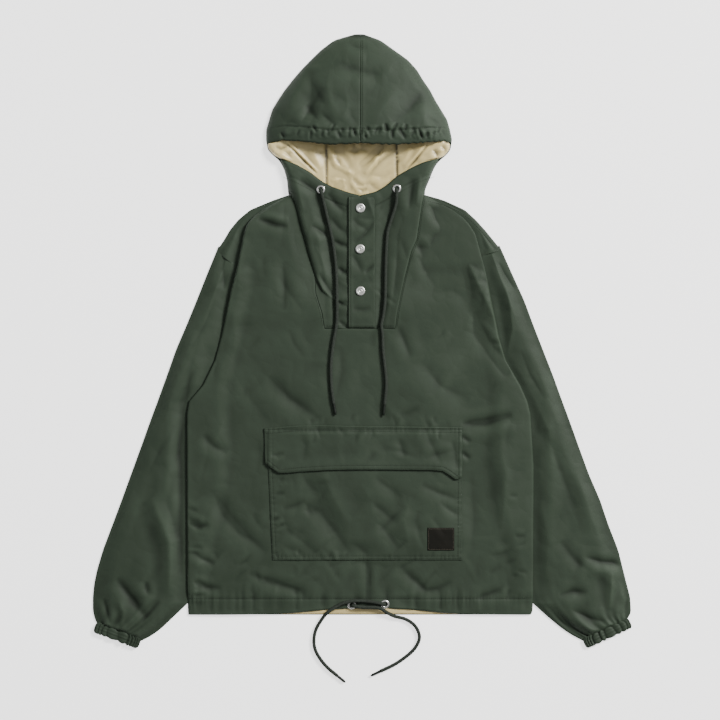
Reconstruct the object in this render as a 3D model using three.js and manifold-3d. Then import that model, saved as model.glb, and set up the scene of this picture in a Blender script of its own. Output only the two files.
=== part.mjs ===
import * as THREE from "three";
import { mergeVertices } from "three/addons/utils/BufferGeometryUtils.js";
import Module from "manifold-3d";

// Anorak smock laid flat on its back. X runs across it, Y from hem to hood, Z up.
// Tables are in millimetres from the middle of the hem line, and the whole is moved
// to its own box at the end.
const WALL = 1.2;
const GAP = 0.3;
const SEAM = 0.35;
const SLEEVE_WALL = 1.6;
const SLEEVE_HEIGHT = 7;
const SLEEVE_MARGIN_HEIGHT = 3.3;
const CUFF_DEPTH = 14;
const CUFF_HEIGHT = 7.6;
const CUFF_WALL = 1.9;
const CUFF_RIBS = 10;
const NECK_Y = 690;
const BIB_Y = 469;
const HOOD_FOOT = 0.4;
const CORD_RADIUS = 2.25;
const TIP_RADIUS = 1.9;
const TIP_LENGTH = 18;
const SNAP_RADIUS = 8.3;
const SNAP_HEIGHT = 2.6;
const EYELET_RADIUS = 7.4;
const EYELET_HOLE = 3.5;
const EYELET_HEIGHT = 1.2;
const LABEL_LIFT = 1;

// Body outline: y, left edge, right edge.
const BODY = [
  [0, -283, 277], [12, -284, 285], [50, -284.6, 285], [243, -285.5, 286],
  [328, -285.6, 281], [349, -282, 276], [376, -259, 264], [417, -239, 240],
  [457, -228.7, 229], [506, -218.6, 219], [531, -213.5, 214], [571, -203, 205.3],
  [589, -227, 201], [599, -235.4, 232.7], [615.5, -224, 219.5], [632, -214.5, 206],
  [648.5, -201, 191], [665, -181.5, 173], [681.5, -142, 137], [688, -122, 112],
];

// Where a sleeve's inner edge runs under the body: y, left, right.
const UNDER = [
  [75, -286.5, 287], [104, -262, 262], [145, -252, 252], [186, -243, 243],
  [228, -237, 237], [269, -233, 233], [310, -236, 236], [352, -240, 240],
  [376, -242, 244], [400, -240, 242], [420, -238.8, 239.8],
];

// Fold of the front over the shoulder's cap: y, left, right.
const FOLD = [
  [571, -201, 203], [589, -199.5, 198], [604, -196, 195.5], [637, -188, 183],
  [652, -175.6, 170], [665, -160, 155], [688, -119, 109],
];

// Bib seams, which run on up the neck's outline: y, left, right.
const BIB = [
  [469, -58, 58], [495, -62, 61], [528, -72.6, 68], [556, -74, 74], [596, -86, 84],
  [615, -91, 93], [635, -97, 96], [675, -107, 102], [690, -114, 105.6],
  [698, -118.6, 107], [714.5, -120.2, 114], [731, -124.6, 120.5], [747.5, -132, 129.5],
];

// Mouth's lower lip, corner to corner: x, y.
const LIP_LEFT = [
  [-132, 747.5], [-105.6, 739], [-82.5, 726], [-61, 709.5], [-43, 701],
  [-19.8, 693], [0, 687.5],
];
const LIP_RIGHT = [
  [129.5, 747.5], [107, 743.5], [84, 733], [61, 721.5], [45.4, 705], [26.4, 693.7],
  [0, 687.5],
];

// Hood outline from neck to crown: y, left, right.
const HOOD = [
  [690, -118, 107], [698, -119, 107.5], [714.5, -120.5, 114.5], [731, -125, 121],
  [747.5, -134, 131], [764, -152, 148.5], [780.5, -155, 152], [797, -155, 148.5],
  [813.5, -150, 144], [830, -145, 134], [846.5, -135, 124], [863, -124, 115.5],
  [879.5, -111, 104], [896, -97, 94], [912.5, -81, 79], [929, -64, 56],
  [945.5, -43, 31], [955.4, -14, 12],
];

// Hood's height over the floor along the middle: y, height.
const CROWN = [
  [774, 34], [797, 36], [830, 34], [863, 30], [896, 24], [912, 20], [929, 15],
  [945, 9], [953, 3.5],
];

// Rise of the bib's middle over the front panel: y, rise.
const NECK_RISE = [
  [469, 0], [520, 0.4], [560, 0.9], [600, 1.8], [640, 3.6], [660, 5.2], [690, 9.5],
];

// Hood lining: y, left, right, height of its middle.
const LINING = [
  [668, -30, 38, 3.2], [680, -48, 52, 2.4], [692, -62, 66, 1.6], [706, -80, 84, 1.5],
  [720, -95, 96, 1.5], [734, -104, 103, 1.5], [744, -113, 108, 1.5],
  [750, -134, 131, 1.5], [759, -145, 142, 1.6], [770, -150, 146, 1.8],
  [784, -138, 135, 2.4], [800, -124, 120, 3],
];

// Folds of the front: from x, y to x, y, height, width. A trough has a negative height.
const FOLDS = [
  [-127, 566, -125, 500, -0.8, 18], [-155, 645, -125, 637, -0.7, 16],
  [-145, 381, -69, 323, -1, 20], [-256, 290, -223, 266, -0.8, 18],
  [-239, 196, -205, 143, -1.1, 18], [-205, 143, -158, 102, -1.1, 18],
  [-182, 63, -99, 38, -0.9, 18], [-124, 173, -54, 158, -0.9, 17],
  [-54, 158, -13, 94, -0.9, 17], [-58, 228, -25, 153, 0.9, 18],
  [107, 208, 158, 190, -0.9, 18], [66, 79, 107, 42, -0.9, 16],
  [107, 42, 149, 51, -0.9, 16], [116, 675, 160, 625, -1.3, 16],
  [157, 610, 198, 533, 1.1, 20], [198, 533, 231, 467, 1.1, 20],
  [193, 470, 241, 394, -1.4, 18], [168, 312, 247, 325, -1.4, 18],
  [-200, 300, -180, 420, 0.8, 30], [225, 250, 215, 120, 0.7, 26],
];

// Folds of a sleeve's top: from x, y to x, y, height, width, for a left sleeve.
const SLEEVE_FOLDS = [
  [-339, 188, -314, 119, 1, 14], [-314, 119, -314, 31, 1, 14],
  [-399, 56, -353, -5, -1.2, 14], [-420, 20, -400, -10, 1, 12],
  [-224, 560, -250, 470, -1, 16], [-300, 330, -330, 250, -1, 16],
  [-260, 300, -270, 180, -0.8, 14], [-372, 84, -340, 70, -1, 14],
];

// Sleeve rings, shoulder to cuff: outer x, y, inner x, y.
const SLEEVE_LEFT = [
  [-237, 597, -204.2, 570], [-253, 557, -209.8, 547], [-269, 516.5, -214.8, 530],
  [-286, 475, -220.2, 505], [-303.6, 434, -230, 457], [-318, 393, -236, 434],
  [-333, 351.5, -239.2, 416], [-344, 322, -242, 376], [-354, 294, -240, 352],
  [-363, 269, -234, 300], [-378, 228, -233, 265], [-393, 186.5, -239, 210],
  [-408.5, 145, -248, 160], [-424, 104, -262, 104], [-434, 68, -287, 72],
  [-438.5, 45, -290, 38], [-440.6, 21.5, -298.6, 5], [-440.6, 5, -313.5, -11.6],
  [-438.5, -5, -334, -31], [-435.6, -12, -351.5, -43.6], [-434.4, -15.5, -359.6, -43.5],
];
const SLEEVE_RIGHT = [
  [234.2, 597.6, 202.8, 588.2], [252, 557, 209.6, 551], [270.6, 516.5, 215, 530],
  [286, 475, 221, 505], [302, 434, 230.4, 457], [318, 393, 237, 434],
  [333, 351.5, 240.4, 416], [344, 322, 244, 376], [354, 294, 240, 352],
  [363, 269, 234, 300], [378, 228, 233, 265], [396, 186.5, 239, 210],
  [410, 145, 248, 160], [426, 104, 262, 104], [434.5, 68, 288, 72],
  [440, 45, 291, 38], [445.5, 21.5, 295, 5], [447, 3, 315, -11.6],
  [445.5, -2, 338, -31], [442.6, -5, 361, -43], [441.5, -8.7, 367.2, -43.1],
];

// Cuff centre lines: outer x, y, inner x, y.
const CUFF_LEFT = [-435.6, -23, -364.7, -49.5];
const CUFF_RIGHT = [443.9, -15.7, 371.3, -49.5];

// Pocket: x of its sides at its foot and its top.
const POCKET_FOOT = 88;
const POCKET_TOP = 298;
const POCKET_LEFT = [-144.5, -151.5];
const POCKET_RIGHT = [168.3, 169];

// Flap: x, y of its upper edge, x, y of its lower edge.
const FLAP = [
  [-158.4, 305, -156, 248], [-140, 306.5, -134, 231], [-105, 310, -98, 233.5],
  [-60, 310.6, -55, 236], [-16.5, 309.5, -10, 237], [30, 309, 36, 237],
  [75, 308.4, 82, 236.4], [115, 307.8, 118, 236], [142, 307.4, 141, 233],
  [157, 307.2, 157, 220.5], [168.3, 307, 167.6, 224],
];

// Placket: y, left edge, right edge.
const PLACKET = [
  [470.5, -19, 24], [486, -19, 24], [503, -19, 24], [520, -19, 24.3], [540, -19.2, 24.5],
  [560, -19.4, 24.5], [580, -19.5, 24.5], [600, -19.5, 24.5], [620, -19.5, 24.3],
  [640, -19.5, 24], [655, -19.5, 24], [668, -19.3, 23.8], [679, -19, 23.4],
  [686, -12, 20],
];

const LABEL = { left: 111, right: 155, low: 104, high: 141.4 };
const SNAPS = [["top", 0.8, 667], ["middle", 0.3, 600], ["bottom", 0.8, 531]];
const EYELETS = [
  ["hood_left", -64.5, 697.5], ["hood_right", 60.5, 699],
  ["hem_left", -13.5, 14], ["hem_right", 41.4, 15.2],
];

// Cord routes, from eyelet to tip: x, y.
const CORDS = {
  hood_left: [
    [-64.4, 697], [-58, 670], [-52, 644], [-45.7, 616], [-41.4, 588], [-38.8, 556],
    [-38, 503], [-39, 475], [-44, 445], [-48, 407], [-46.5, 369], [-43, 345],
  ],
  hood_right: [
    [60.6, 698], [59, 674], [52.8, 653], [46.7, 634], [44, 616], [42.2, 574],
    [41.3, 521], [38.8, 494], [35.3, 475], [37, 459], [38, 432], [43, 382], [40.4, 344],
  ],
  hem_left: [
    [41.2, 15.4], [22, 19], [-5, 21.4], [-25, 18.5], [-40.4, 11], [-54.5, 1], [-65, -13],
    [-73, -28], [-76, -45], [-73.6, -60.6], [-65, -76], [-53, -90], [-38, -102.6],
  ],
  hem_right: [
    [-13.3, 13.4], [5, 10.6], [22, 10.4], [34, 8.6], [44, 2], [56.6, -4.5], [75, -9.7],
    [89, -19], [96.5, -31.4], [97.4, -43.7], [90.4, -57.6], [78, -69.8], [58, -83.7],
    [34, -95.4],
  ],
};

const GREEN = 0x3f4a40;
const BEIGE = 0xcfc2a4;
const STEEL = 0xc4c6c8;
const BROWN = 0x2a2723;

// Values of a table's column at y, straight between its rows.
function at(table, y, column) {
  let k = 1;
  while (k < table.length - 1 && table[k][0] < y) k += 1;
  const a = table[k - 1];
  const b = table[k];
  const t = THREE.MathUtils.clamp((y - a[0]) / (b[0] - a[0]), 0, 1);
  return a[column] + (b[column] - a[column]) * t;
}

const lerp = THREE.MathUtils.lerp;
const smooth = THREE.MathUtils.smoothstep;

function foldHeight(table, x, y) {
  let sum = 0;
  for (const [x1, y1, x2, y2, height, width] of table) {
    const dx = x2 - x1;
    const dy = y2 - y1;
    const t = THREE.MathUtils.clamp(
      ((x - x1) * dx + (y - y1) * dy) / (dx * dx + dy * dy), 0, 1);
    const d = Math.hypot(x - x1 - t * dx, y - y1 - t * dy);
    sum += height * Math.exp(-((d / width) ** 2));
  }
  return sum;
}

// A closed body from a grid of top points and a grid of bottom points.
// keep(i, j) says which cells are there, and wrap joins the last column to the first.
function slab(top, bottom, keep = () => true, wrap = false) {
  const rows = top.length;
  const columns = top[0].length;
  const cells = wrap ? columns : columns - 1;
  const position = [];
  const has = (i, j) => {
    const inside = i >= 0 && i < rows - 1 && (wrap || (j >= 0 && j < cells));
    return inside && keep(i, (j + cells) % cells);
  };
  const tri = (a, b, c) => position.push(...a, ...b, ...c);
  const quad = (a, b, c, d) => {
    tri(a, b, c);
    tri(a, c, d);
  };
  for (let i = 0; i < rows - 1; i += 1) {
    for (let j = 0; j < cells; j += 1) {
      if (!has(i, j)) continue;
      const n = (j + 1) % columns;
      const [a, b, c, d] = [top[i][j], top[i][n], top[i + 1][n], top[i + 1][j]];
      const [e, f, g, h] = [bottom[i][j], bottom[i][n], bottom[i + 1][n], bottom[i + 1][j]];
      quad(a, b, c, d);
      quad(e, h, g, f);
      if (!has(i - 1, j)) quad(e, f, b, a);
      if (!has(i + 1, j)) quad(g, h, d, c);
      if (!has(i, j - 1)) quad(h, e, a, d);
      if (!has(i, j + 1)) quad(f, g, c, b);
    }
  }
  const geometry = new THREE.BufferGeometry();
  geometry.setAttribute("position", new THREE.Float32BufferAttribute(position, 3));
  return geometry;
}

const wasm = await Module();
wasm.setup();

function solid(geometry) {
  const plain = geometry.clone();
  plain.deleteAttribute("normal");
  plain.deleteAttribute("uv");
  const merged = mergeVertices(plain, 1e-3);
  return new wasm.Manifold(
    new wasm.Mesh({
      numProp: 3,
      vertProperties: merged.attributes.position.array,
      triVerts: new Uint32Array(merged.index.array),
    }),
  );
}

function geometryOf(body) {
  const mesh = body.getMesh();
  const geometry = new THREE.BufferGeometry();
  geometry.setAttribute("position", new THREE.BufferAttribute(mesh.vertProperties, 3));
  geometry.setIndex(new THREE.BufferAttribute(mesh.triVerts, 1));
  return geometry.toNonIndexed();
}

const part = new THREE.Group();
const shapes = {};

function add(name, geometry, color, roughness = 0.6, metalness = 0) {
  const plain = geometry.index ? geometry.toNonIndexed() : geometry;
  plain.computeVertexNormals();
  const material = new THREE.MeshStandardMaterial({ color, roughness, metalness });
  const mesh = new THREE.Mesh(plain, material);
  mesh.name = name;
  shapes[name] = plain;
  part.add(mesh);
}

// Highest point of the named pieces over a disc round x, y. Bare floor is at 0.
function heightOver(names, x, y, radius) {
  let best = 0;
  const spots = [[x, y]];
  for (let k = 0; k < 8; k += 1) {
    const turn = (k * Math.PI) / 4;
    spots.push([x + radius * Math.cos(turn), y + radius * Math.sin(turn)]);
  }
  for (const name of names) {
    const p = shapes[name].attributes.position.array;
    for (let k = 0; k < p.length; k += 9) {
      const low = Math.min(p[k], p[k + 3], p[k + 6]) - radius;
      const high = Math.max(p[k], p[k + 3], p[k + 6]) + radius;
      if (x < low || x > high) continue;
      const near = Math.min(p[k + 1], p[k + 4], p[k + 7]) - radius;
      const far = Math.max(p[k + 1], p[k + 4], p[k + 7]) + radius;
      if (y < near || y > far) continue;
      const area = (p[k + 3] - p[k]) * (p[k + 7] - p[k + 1])
        - (p[k + 6] - p[k]) * (p[k + 4] - p[k + 1]);
      if (Math.abs(area) < 1e-6) continue;
      for (const [sx, sy] of spots) {
        const u = ((sx - p[k]) * (p[k + 7] - p[k + 1])
          - (p[k + 6] - p[k]) * (sy - p[k + 1])) / area;
        const v = ((p[k + 3] - p[k]) * (sy - p[k + 1])
          - (sx - p[k]) * (p[k + 4] - p[k + 1])) / area;
        if (u < 0 || v < 0 || u + v > 1) continue;
        const z = p[k + 2] + u * (p[k + 5] - p[k + 2]) + v * (p[k + 8] - p[k + 2]);
        best = Math.max(best, z);
      }
    }
  }
  return best;
}

// Body rows, from hem to neck, and its columns: side, sleeve, ramp, pocket and bib.
const BODY_ROWS = [
  0, 22, 50, 75, POCKET_FOOT, 112, 136, 160, 186, 212, 240, 269, POCKET_TOP, 322, 349,
  376, 400, 420, 440, BIB_Y, 495, 528, 556, 571, 589, 599, 615.5, 632, 648.5, 665,
  681.5, 688,
];
const SIDE_CELLS = 5;
const MIDDLE_CELLS = 12;
const LIFT = SLEEVE_MARGIN_HEIGHT + GAP;

function edgeLift(y) {
  return LIFT * smooth(y, 50, 75) * (1 - smooth(y, 420, 440));
}

// Columns of one side at y: edge, two crease lines, then cells to the pocket or bib.
function sideColumns(y, side) {
  const sign = side === 1 ? -1 : 1;
  const edge = at(BODY, y, side);
  let first = edge - sign * 3;
  let second = edge - sign * 24;
  if (y >= 75 && y <= 420) {
    first = at(UNDER, y, side) - sign * 2;
    second = first - sign * 24;
  }
  if (y > 571) {
    first = at(FOLD, y, side) + sign * 1.5;
    second = at(FOLD, y, side) - sign * 3;
  }
  const foot = side === 1 ? POCKET_LEFT : POCKET_RIGHT;
  let inner = lerp(foot[0], foot[1], smooth(y, POCKET_FOOT, POCKET_TOP));
  const seam = at(BIB, y, side) + sign * SEAM;
  inner = lerp(inner, seam, THREE.MathUtils.clamp((y - POCKET_TOP) / (BIB_Y - POCKET_TOP), 0, 1));
  const columns = [edge, first, second];
  for (let k = 1; k <= SIDE_CELLS; k += 1) columns.push(lerp(second, inner, k / SIDE_CELLS));
  return columns;
}

function bodyColumns(y) {
  const left = sideColumns(y, 1);
  const right = sideColumns(y, 2).reverse();
  const middle = [];
  for (let k = 1; k < MIDDLE_CELLS; k += 1) {
    middle.push(lerp(left[left.length - 1], right[0], k / MIDDLE_CELLS));
  }
  return [...left, ...middle, ...right];
}

const BODY_COLUMNS = bodyColumns(0).length;
const LAST = BODY_COLUMNS - 1;
const BIB_FIRST = SIDE_CELLS + 2;
const BIB_LAST = LAST - BIB_FIRST;

function backLift(y, j) {
  const fromEdge = Math.min(j, LAST - j);
  return fromEdge <= 1 ? edgeLift(y) : 0;
}

// Space between back and front: a slight puff with the folds in it.
function puff(x, y) {
  const inset = Math.min(x - at(BODY, y, 1), at(BODY, y, 2) - x);
  let value = 1.5 * (1 - Math.exp(-Math.max(inset, 0) / 30)) + foldHeight(FOLDS, x, y);
  if (y < 40) value = Math.max(value, 1.5);
  value += 1.2 * smooth(y, 430, 470) * (1 - smooth(inset, 20, 60));
  return THREE.MathUtils.clamp(value, 0.2, 3.5);
}

function frontUnder(x, y, j) {
  const fromEdge = Math.min(j, LAST - j);
  let rise = puff(x, y);
  if (y > 571 && y < 680 && fromEdge <= 1) rise = 0.2;
  if (y > 430 && y <= 571 && fromEdge <= 1) rise = 1.9;
  if (y >= 50 && y <= 430 && fromEdge <= 1) rise = 0.4;
  if (y >= 680) rise = Math.min(rise, 0.8);
  return backLift(y, j) + WALL + GAP + rise;
}

// The front hem sits a little higher in the middle.
function hemLine(x) {
  return -2.4 + 7.6 * Math.exp(-(((x - 15) / 120) ** 2));
}

const frontTop = [];
const frontBottom = [];
for (const y of BODY_ROWS) {
  const columns = bodyColumns(y);
  const low = columns.map((x, j) => [x, y === 0 ? hemLine(x) : y, frontUnder(x, y, j)]);
  frontBottom.push(low);
  frontTop.push(low.map(([x, v, z]) => [x, v, z + WALL]));
}
const bibRow = BODY_ROWS.indexOf(BIB_Y);
const outsideBib = (i, j) => i < bibRow || j < BIB_FIRST || j >= BIB_LAST;
add("front_panel", slab(frontTop, frontBottom, outsideBib), GREEN);

const backColumns = [
  0, 1, 2, BIB_FIRST, Math.round(LAST / 2), BIB_LAST, LAST - 2, LAST - 1, LAST,
];
const backBottom = BODY_ROWS.map((y) => {
  const columns = bodyColumns(y);
  return backColumns.map((j) => [columns[j], y === 0 ? -2.4 : y, backLift(y, j)]);
});
const backTop = backBottom.map((row) => row.map(([x, y, z]) => [x, y, z + WALL]));
add("back_panel", slab(backTop, backBottom), GREEN);

// Facing inside the back hem, seen under the front hem.
const facingRows = [-1.2, 6, 20];
const facingBottom = facingRows.map((y) => {
  const row = [];
  for (let k = 0; k <= 6; k += 1) row.push([lerp(-150, 175, k / 6), y, WALL + GAP]);
  return row;
});
const facingTop = facingBottom.map((row) => row.map(([x, y, z]) => [x, y, z + 1]));
add("hem_lining", slab(facingTop, facingBottom), BEIGE, 0.7);

// Sleeves are flat tubes: flat below, a low dome with its folds above.
// The dome starts past the body's edge, at a point that every ring has.
const DOME = [0.08, 0.22, 0.4, 0.58, 0.76, 0.9, 1];

function domeStart([ox, oy, ix, iy], side) {
  const width = Math.hypot(ix - ox, iy - oy);
  let u = 1 - 6 / width;
  while (u > 0.3) {
    const x = lerp(ox, ix, u);
    const y = lerp(oy, iy, u);
    if (Math.abs(x) > Math.abs(at(BODY, y, side)) + 4) break;
    u -= 0.01;
  }
  return u;
}

function sleeveRing(row, side, wall) {
  const [ox, oy, ix, iy] = row;
  const width = Math.hypot(ix - ox, iy - oy);
  const edge = SLEEVE_MARGIN_HEIGHT / 2;
  const start = domeStart(row, side);
  const trim = wall / width;
  const spot = (u, z) => {
    const v = lerp(trim, 1 - trim, u);
    return [lerp(ox, ix, v), lerp(oy, iy, v), z];
  };
  const ring = [spot(0, edge), spot(3 / width, SLEEVE_MARGIN_HEIGHT - wall)];
  for (const share of DOME) {
    const u = share * start;
    const x = lerp(ox, ix, u);
    const y = lerp(oy, iy, u);
    const crest = SLEEVE_HEIGHT + Math.min(foldHeight(SLEEVE_FOLDS, -Math.abs(x), y), 0);
    const rise = smooth(Math.min(u, start - u) * width, 0, 26);
    ring.push(spot(u, lerp(SLEEVE_MARGIN_HEIGHT, crest, rise) - wall));
  }
  ring.push(spot((1 + start) / 2, SLEEVE_MARGIN_HEIGHT - wall));
  ring.push(spot(1 - 2 / width, SLEEVE_MARGIN_HEIGHT - wall));
  ring.push(spot(1, edge));
  for (const u of [0.95, 0.5, 0.05]) ring.push(spot(u, wall));
  return ring;
}

function mirrorWinding(rings) {
  return rings.map((ring) => [...ring].reverse());
}

function addSleeve(name, table, side) {
  let outer = table.map((row) => sleeveRing(row, side, 0));
  let inner = table.map((row) => sleeveRing(row, side, SLEEVE_WALL));
  if (side === 1) {
    outer = mirrorWinding(outer);
    inner = mirrorWinding(inner);
  }
  const geometry = slab(outer, inner, () => true, true);
  const body = solid(geometry);
  add(name, geometryOf(body), GREEN);
}
addSleeve("sleeve_left", SLEEVE_LEFT, 1);
addSleeve("sleeve_right", SLEEVE_RIGHT, 2);

// Cuffs: ribbed above, flat below.
function addCuff(name, [ox, oy, ix, iy]) {
  const width = Math.hypot(ix - ox, iy - oy);
  const along = [(ix - ox) / width, (iy - oy) / width];
  const sign = ix > ox ? 1 : -1;
  const down = [sign * along[1], -sign * along[0]];
  const loops = (wall) => [-0.5, 0, 0.5].map((v) => {
    const ring = [];
    const steps = CUFF_RIBS * 2;
    const drop = v * CUFF_DEPTH;
    const spot = (u, z) => {
      const run = lerp(wall, width - wall, u);
      return [ox + along[0] * run + down[0] * drop, oy + along[1] * run + down[1] * drop, z];
    };
    ring.push(spot(0, CUFF_HEIGHT / 2));
    for (let k = 0; k < steps; k += 1) {
      const rib = k % 2 === 0 ? 0 : -0.7;
      const arch = Math.sin(Math.PI * lerp(0.16, 0.84, k / (steps - 1))) ** 0.4;
      ring.push(spot(lerp(0.03, 0.97, k / (steps - 1)), CUFF_HEIGHT * arch + (wall ? 0 : rib) - wall));
    }
    ring.push(spot(1, CUFF_HEIGHT / 2));
    for (const u of [0.94, 0.5, 0.06]) ring.push(spot(u, wall));
    return sign > 0 ? ring.reverse() : ring;
  });
  add(name, slab(loops(0), loops(CUFF_WALL), () => true, true), GREEN);
}
addCuff("cuff_left", CUFF_LEFT);
addCuff("cuff_right", CUFF_RIGHT);

// Hood halves: the back lies flat, the crown arches over it to the brim,
// and the lower front runs from the mouth's lip down into the bib.
const CROWN_ROWS = [774, 785, 797, 813, 830, 846, 863, 880, 896, 912, 929, 941, 949, 953.5];
const CROWN_TURNS = [0, 0.06, 0.16, 0.3, 0.45, 0.6, 0.75, 0.88, 1];

function crownArch(y, side, inset) {
  const sign = side === 1 ? -1 : 1;
  const edge = at(HOOD, y, side) - sign * (0.4 + inset);
  const middle = (sign * SEAM) / 2;
  const height = Math.max(at(CROWN, y, 1) - inset, HOOD_FOOT + 0.1);
  return CROWN_TURNS.map((t) => {
    const turn = (t * Math.PI) / 2;
    const x = lerp(edge, middle, 1 - Math.cos(turn));
    return [x, y, HOOD_FOOT + (height - HOOD_FOOT) * Math.sin(turn) ** 0.85];
  });
}

function alongPath(path, t) {
  const lengths = [0];
  for (let k = 1; k < path.length; k += 1) {
    const step = Math.hypot(path[k][0] - path[k - 1][0], path[k][1] - path[k - 1][1]);
    lengths.push(lengths[k - 1] + step);
  }
  const target = t * lengths[lengths.length - 1];
  let k = 1;
  while (k < path.length - 1 && lengths[k] < target) k += 1;
  const f = (target - lengths[k - 1]) / (lengths[k] - lengths[k - 1]);
  return [lerp(path[k - 1][0], path[k][0], f), lerp(path[k - 1][1], path[k][1], f)];
}

const LOWER_ROWS = [
  469.35, 495, 528, 556, 576, 596, 615, 635, 655, 675, 690, 698, 714.5, 731, 744, 747.5,
];
const LOWER_TURNS = [0, 0.06, 0.16, 0.3, 0.45, 0.6, 0.8, 1];

// Grid of the lower front's underside: u from seam to middle, v from bib to lip.
function lowerFront(side) {
  const sign = side === 1 ? -1 : 1;
  const lip = side === 1 ? LIP_LEFT : LIP_RIGHT;
  const low = LOWER_ROWS[0];
  const high = LOWER_ROWS[LOWER_ROWS.length - 1];
  const middle = (sign * SEAM) / 2;
  const lipEnd = lip[lip.length - 1][1];
  return LOWER_ROWS.map((edgeY) => {
    const v = (edgeY - low) / (high - low);
    const inset = edgeY > NECK_Y ? 0.6 : 0;
    const edge = [at(BIB, edgeY, side) - sign * inset, edgeY];
    const centre = [middle, low + v * (lipEnd - low)];
    const rim = at(BODY_EDGE_UNDER, edgeY, 1);
    return LOWER_TURNS.map((u) => {
      const base = [lerp(at(BIB, low, side), middle, u), low];
      const top = alongPath(lip, u);
      const corner = [
        (1 - u) * (1 - v) * at(BIB, low, side) + u * (1 - v) * middle
          + (1 - u) * v * lip[0][0] + u * v * middle,
        (1 - u) * (1 - v) * low + u * (1 - v) * low + (1 - u) * v * high + u * v * lipEnd,
      ];
      const x = (1 - u) * edge[0] + u * centre[0] + (1 - v) * base[0] + v * top[0] - corner[0];
      const y = (1 - u) * edge[1] + u * centre[1] + (1 - v) * base[1] + v * top[1] - corner[1];
      const shoulder = edgeY <= NECK_Y ? bibEdge(edge[0], edgeY) : rim;
      const ridge = WALL + GAP + puff(centre[0], Math.min(centre[1], 665)) + at(NECK_RISE, centre[1], 1);
      return [x, y, lerp(shoulder, ridge, Math.sin((u * Math.PI) / 2) ** 0.8)];
    });
  });
}

// Underside of the lower front at its outer edge, past the neck seam: y, height.
const BODY_EDGE_UNDER = [[690, 2.3], [698, 0.5], [748, 0.5]];

function bibEdge(x, y) {
  return WALL + GAP + Math.min(puff(x, y), y >= 680 ? 0.8 : 9);
}

function addHood(name, side) {
  const sign = side === 1 ? -1 : 1;
  const flip = (grid) => (side === 1 ? grid : grid.map((row) => [...row].reverse()));
  const backRows = HOOD.map(([y]) => {
    const edge = at(HOOD, y, side);
    return flip([[[edge, y, 0], [lerp(edge, 0, 0.5), y, 0], [(sign * SEAM) / 2, y, 0]]])[0];
  });
  const backFace = backRows.map((row) => row.map(([x, y, z]) => [x, y, z + WALL]));
  const crownOuter = flip(CROWN_ROWS.map((y) => crownArch(y, side, 0)));
  const crownInner = flip(CROWN_ROWS.map((y) => crownArch(y, side, WALL)));
  const under = lowerFront(side);
  const over = under.map((row) => row.map(([x, y, z], j) => {
    const steep = j < 3 ? 1.5 : 1.2;
    return [x, y, z + WALL * (y > NECK_Y ? steep : 1)];
  }));
  const body = solid(slab(backFace, backRows))
    .add(solid(slab(crownOuter, crownInner)))
    .add(solid(slab(flip(over), flip(under))));
  add(name, geometryOf(body), GREEN);
}
addHood("hood_left", 1);
addHood("hood_right", 2);

// Lining seen in the mouth: a shallow dish that reaches out to both corners.
const liningBottom = LINING.map(([y, left, right, height]) => {
  const row = [];
  for (let k = 0; k <= 12; k += 1) {
    const x = lerp(left, right, k / 12);
    const reach = Math.abs(x) / 150;
    row.push([x, y, height + 3.2 * reach ** 3 * smooth(y, 735, 765)]);
  }
  return row;
});
const liningTop = liningBottom.map((row) => row.map(([x, y, z]) => [x, y, z + 1]));
add("hood_lining", slab(liningTop, liningBottom), BEIGE, 0.7);

// A patch laid over the named pieces: its grid of x, y is moved out from them.
function patch(name, grid, under, thickness, radius, color, roughness = 0.6) {
  const bottom = grid.map((row) => row.map(([x, y]) => [
    x, y, heightOver(under, x, y, radius) + GAP + 0.1]));
  const top = bottom.map((row) => row.map(([x, y, z]) => [x, y, z + thickness]));
  add(name, slab(top, bottom), color, roughness);
}

const placketGrid = PLACKET.map(([y, left, right]) => {
  const row = [];
  for (let k = 0; k <= 4; k += 1) row.push([lerp(left, right, k / 4), y]);
  return row;
});
patch("placket", placketGrid, ["hood_left", "hood_right"], WALL, 4, GREEN);

// Pocket on the front panel's own points.
const first = BODY_ROWS.indexOf(POCKET_FOOT);
const last = BODY_ROWS.indexOf(POCKET_TOP);
const pocketBottom = [];
for (let i = first; i <= last; i += 1) {
  pocketBottom.push(frontTop[i].slice(BIB_FIRST, BIB_LAST + 1).map(([x, y, z]) => [x, y, z + GAP]));
}
const pocketTop = pocketBottom.map((row) => row.map(([x, y, z]) => [x, y, z + WALL]));
add("pocket", slab(pocketTop, pocketBottom), GREEN);

const flapGrid = [1, 0.75, 0.5, 0.25, 0].map((v) =>
  FLAP.map(([tx, ty, bx, by]) => [lerp(tx, bx, v), lerp(ty, by, v)]));
patch("pocket_flap", flapGrid, ["front_panel", "pocket"], WALL, 14, GREEN);

const labelGrid = [LABEL.low, (LABEL.low + LABEL.high) / 2, LABEL.high].map((y) =>
  [LABEL.left, (LABEL.left + LABEL.right) / 2, LABEL.right].map((x) => [x, y]));
patch("label", labelGrid, ["pocket"], LABEL_LIFT, 10, BROWN, 0.8);

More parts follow.
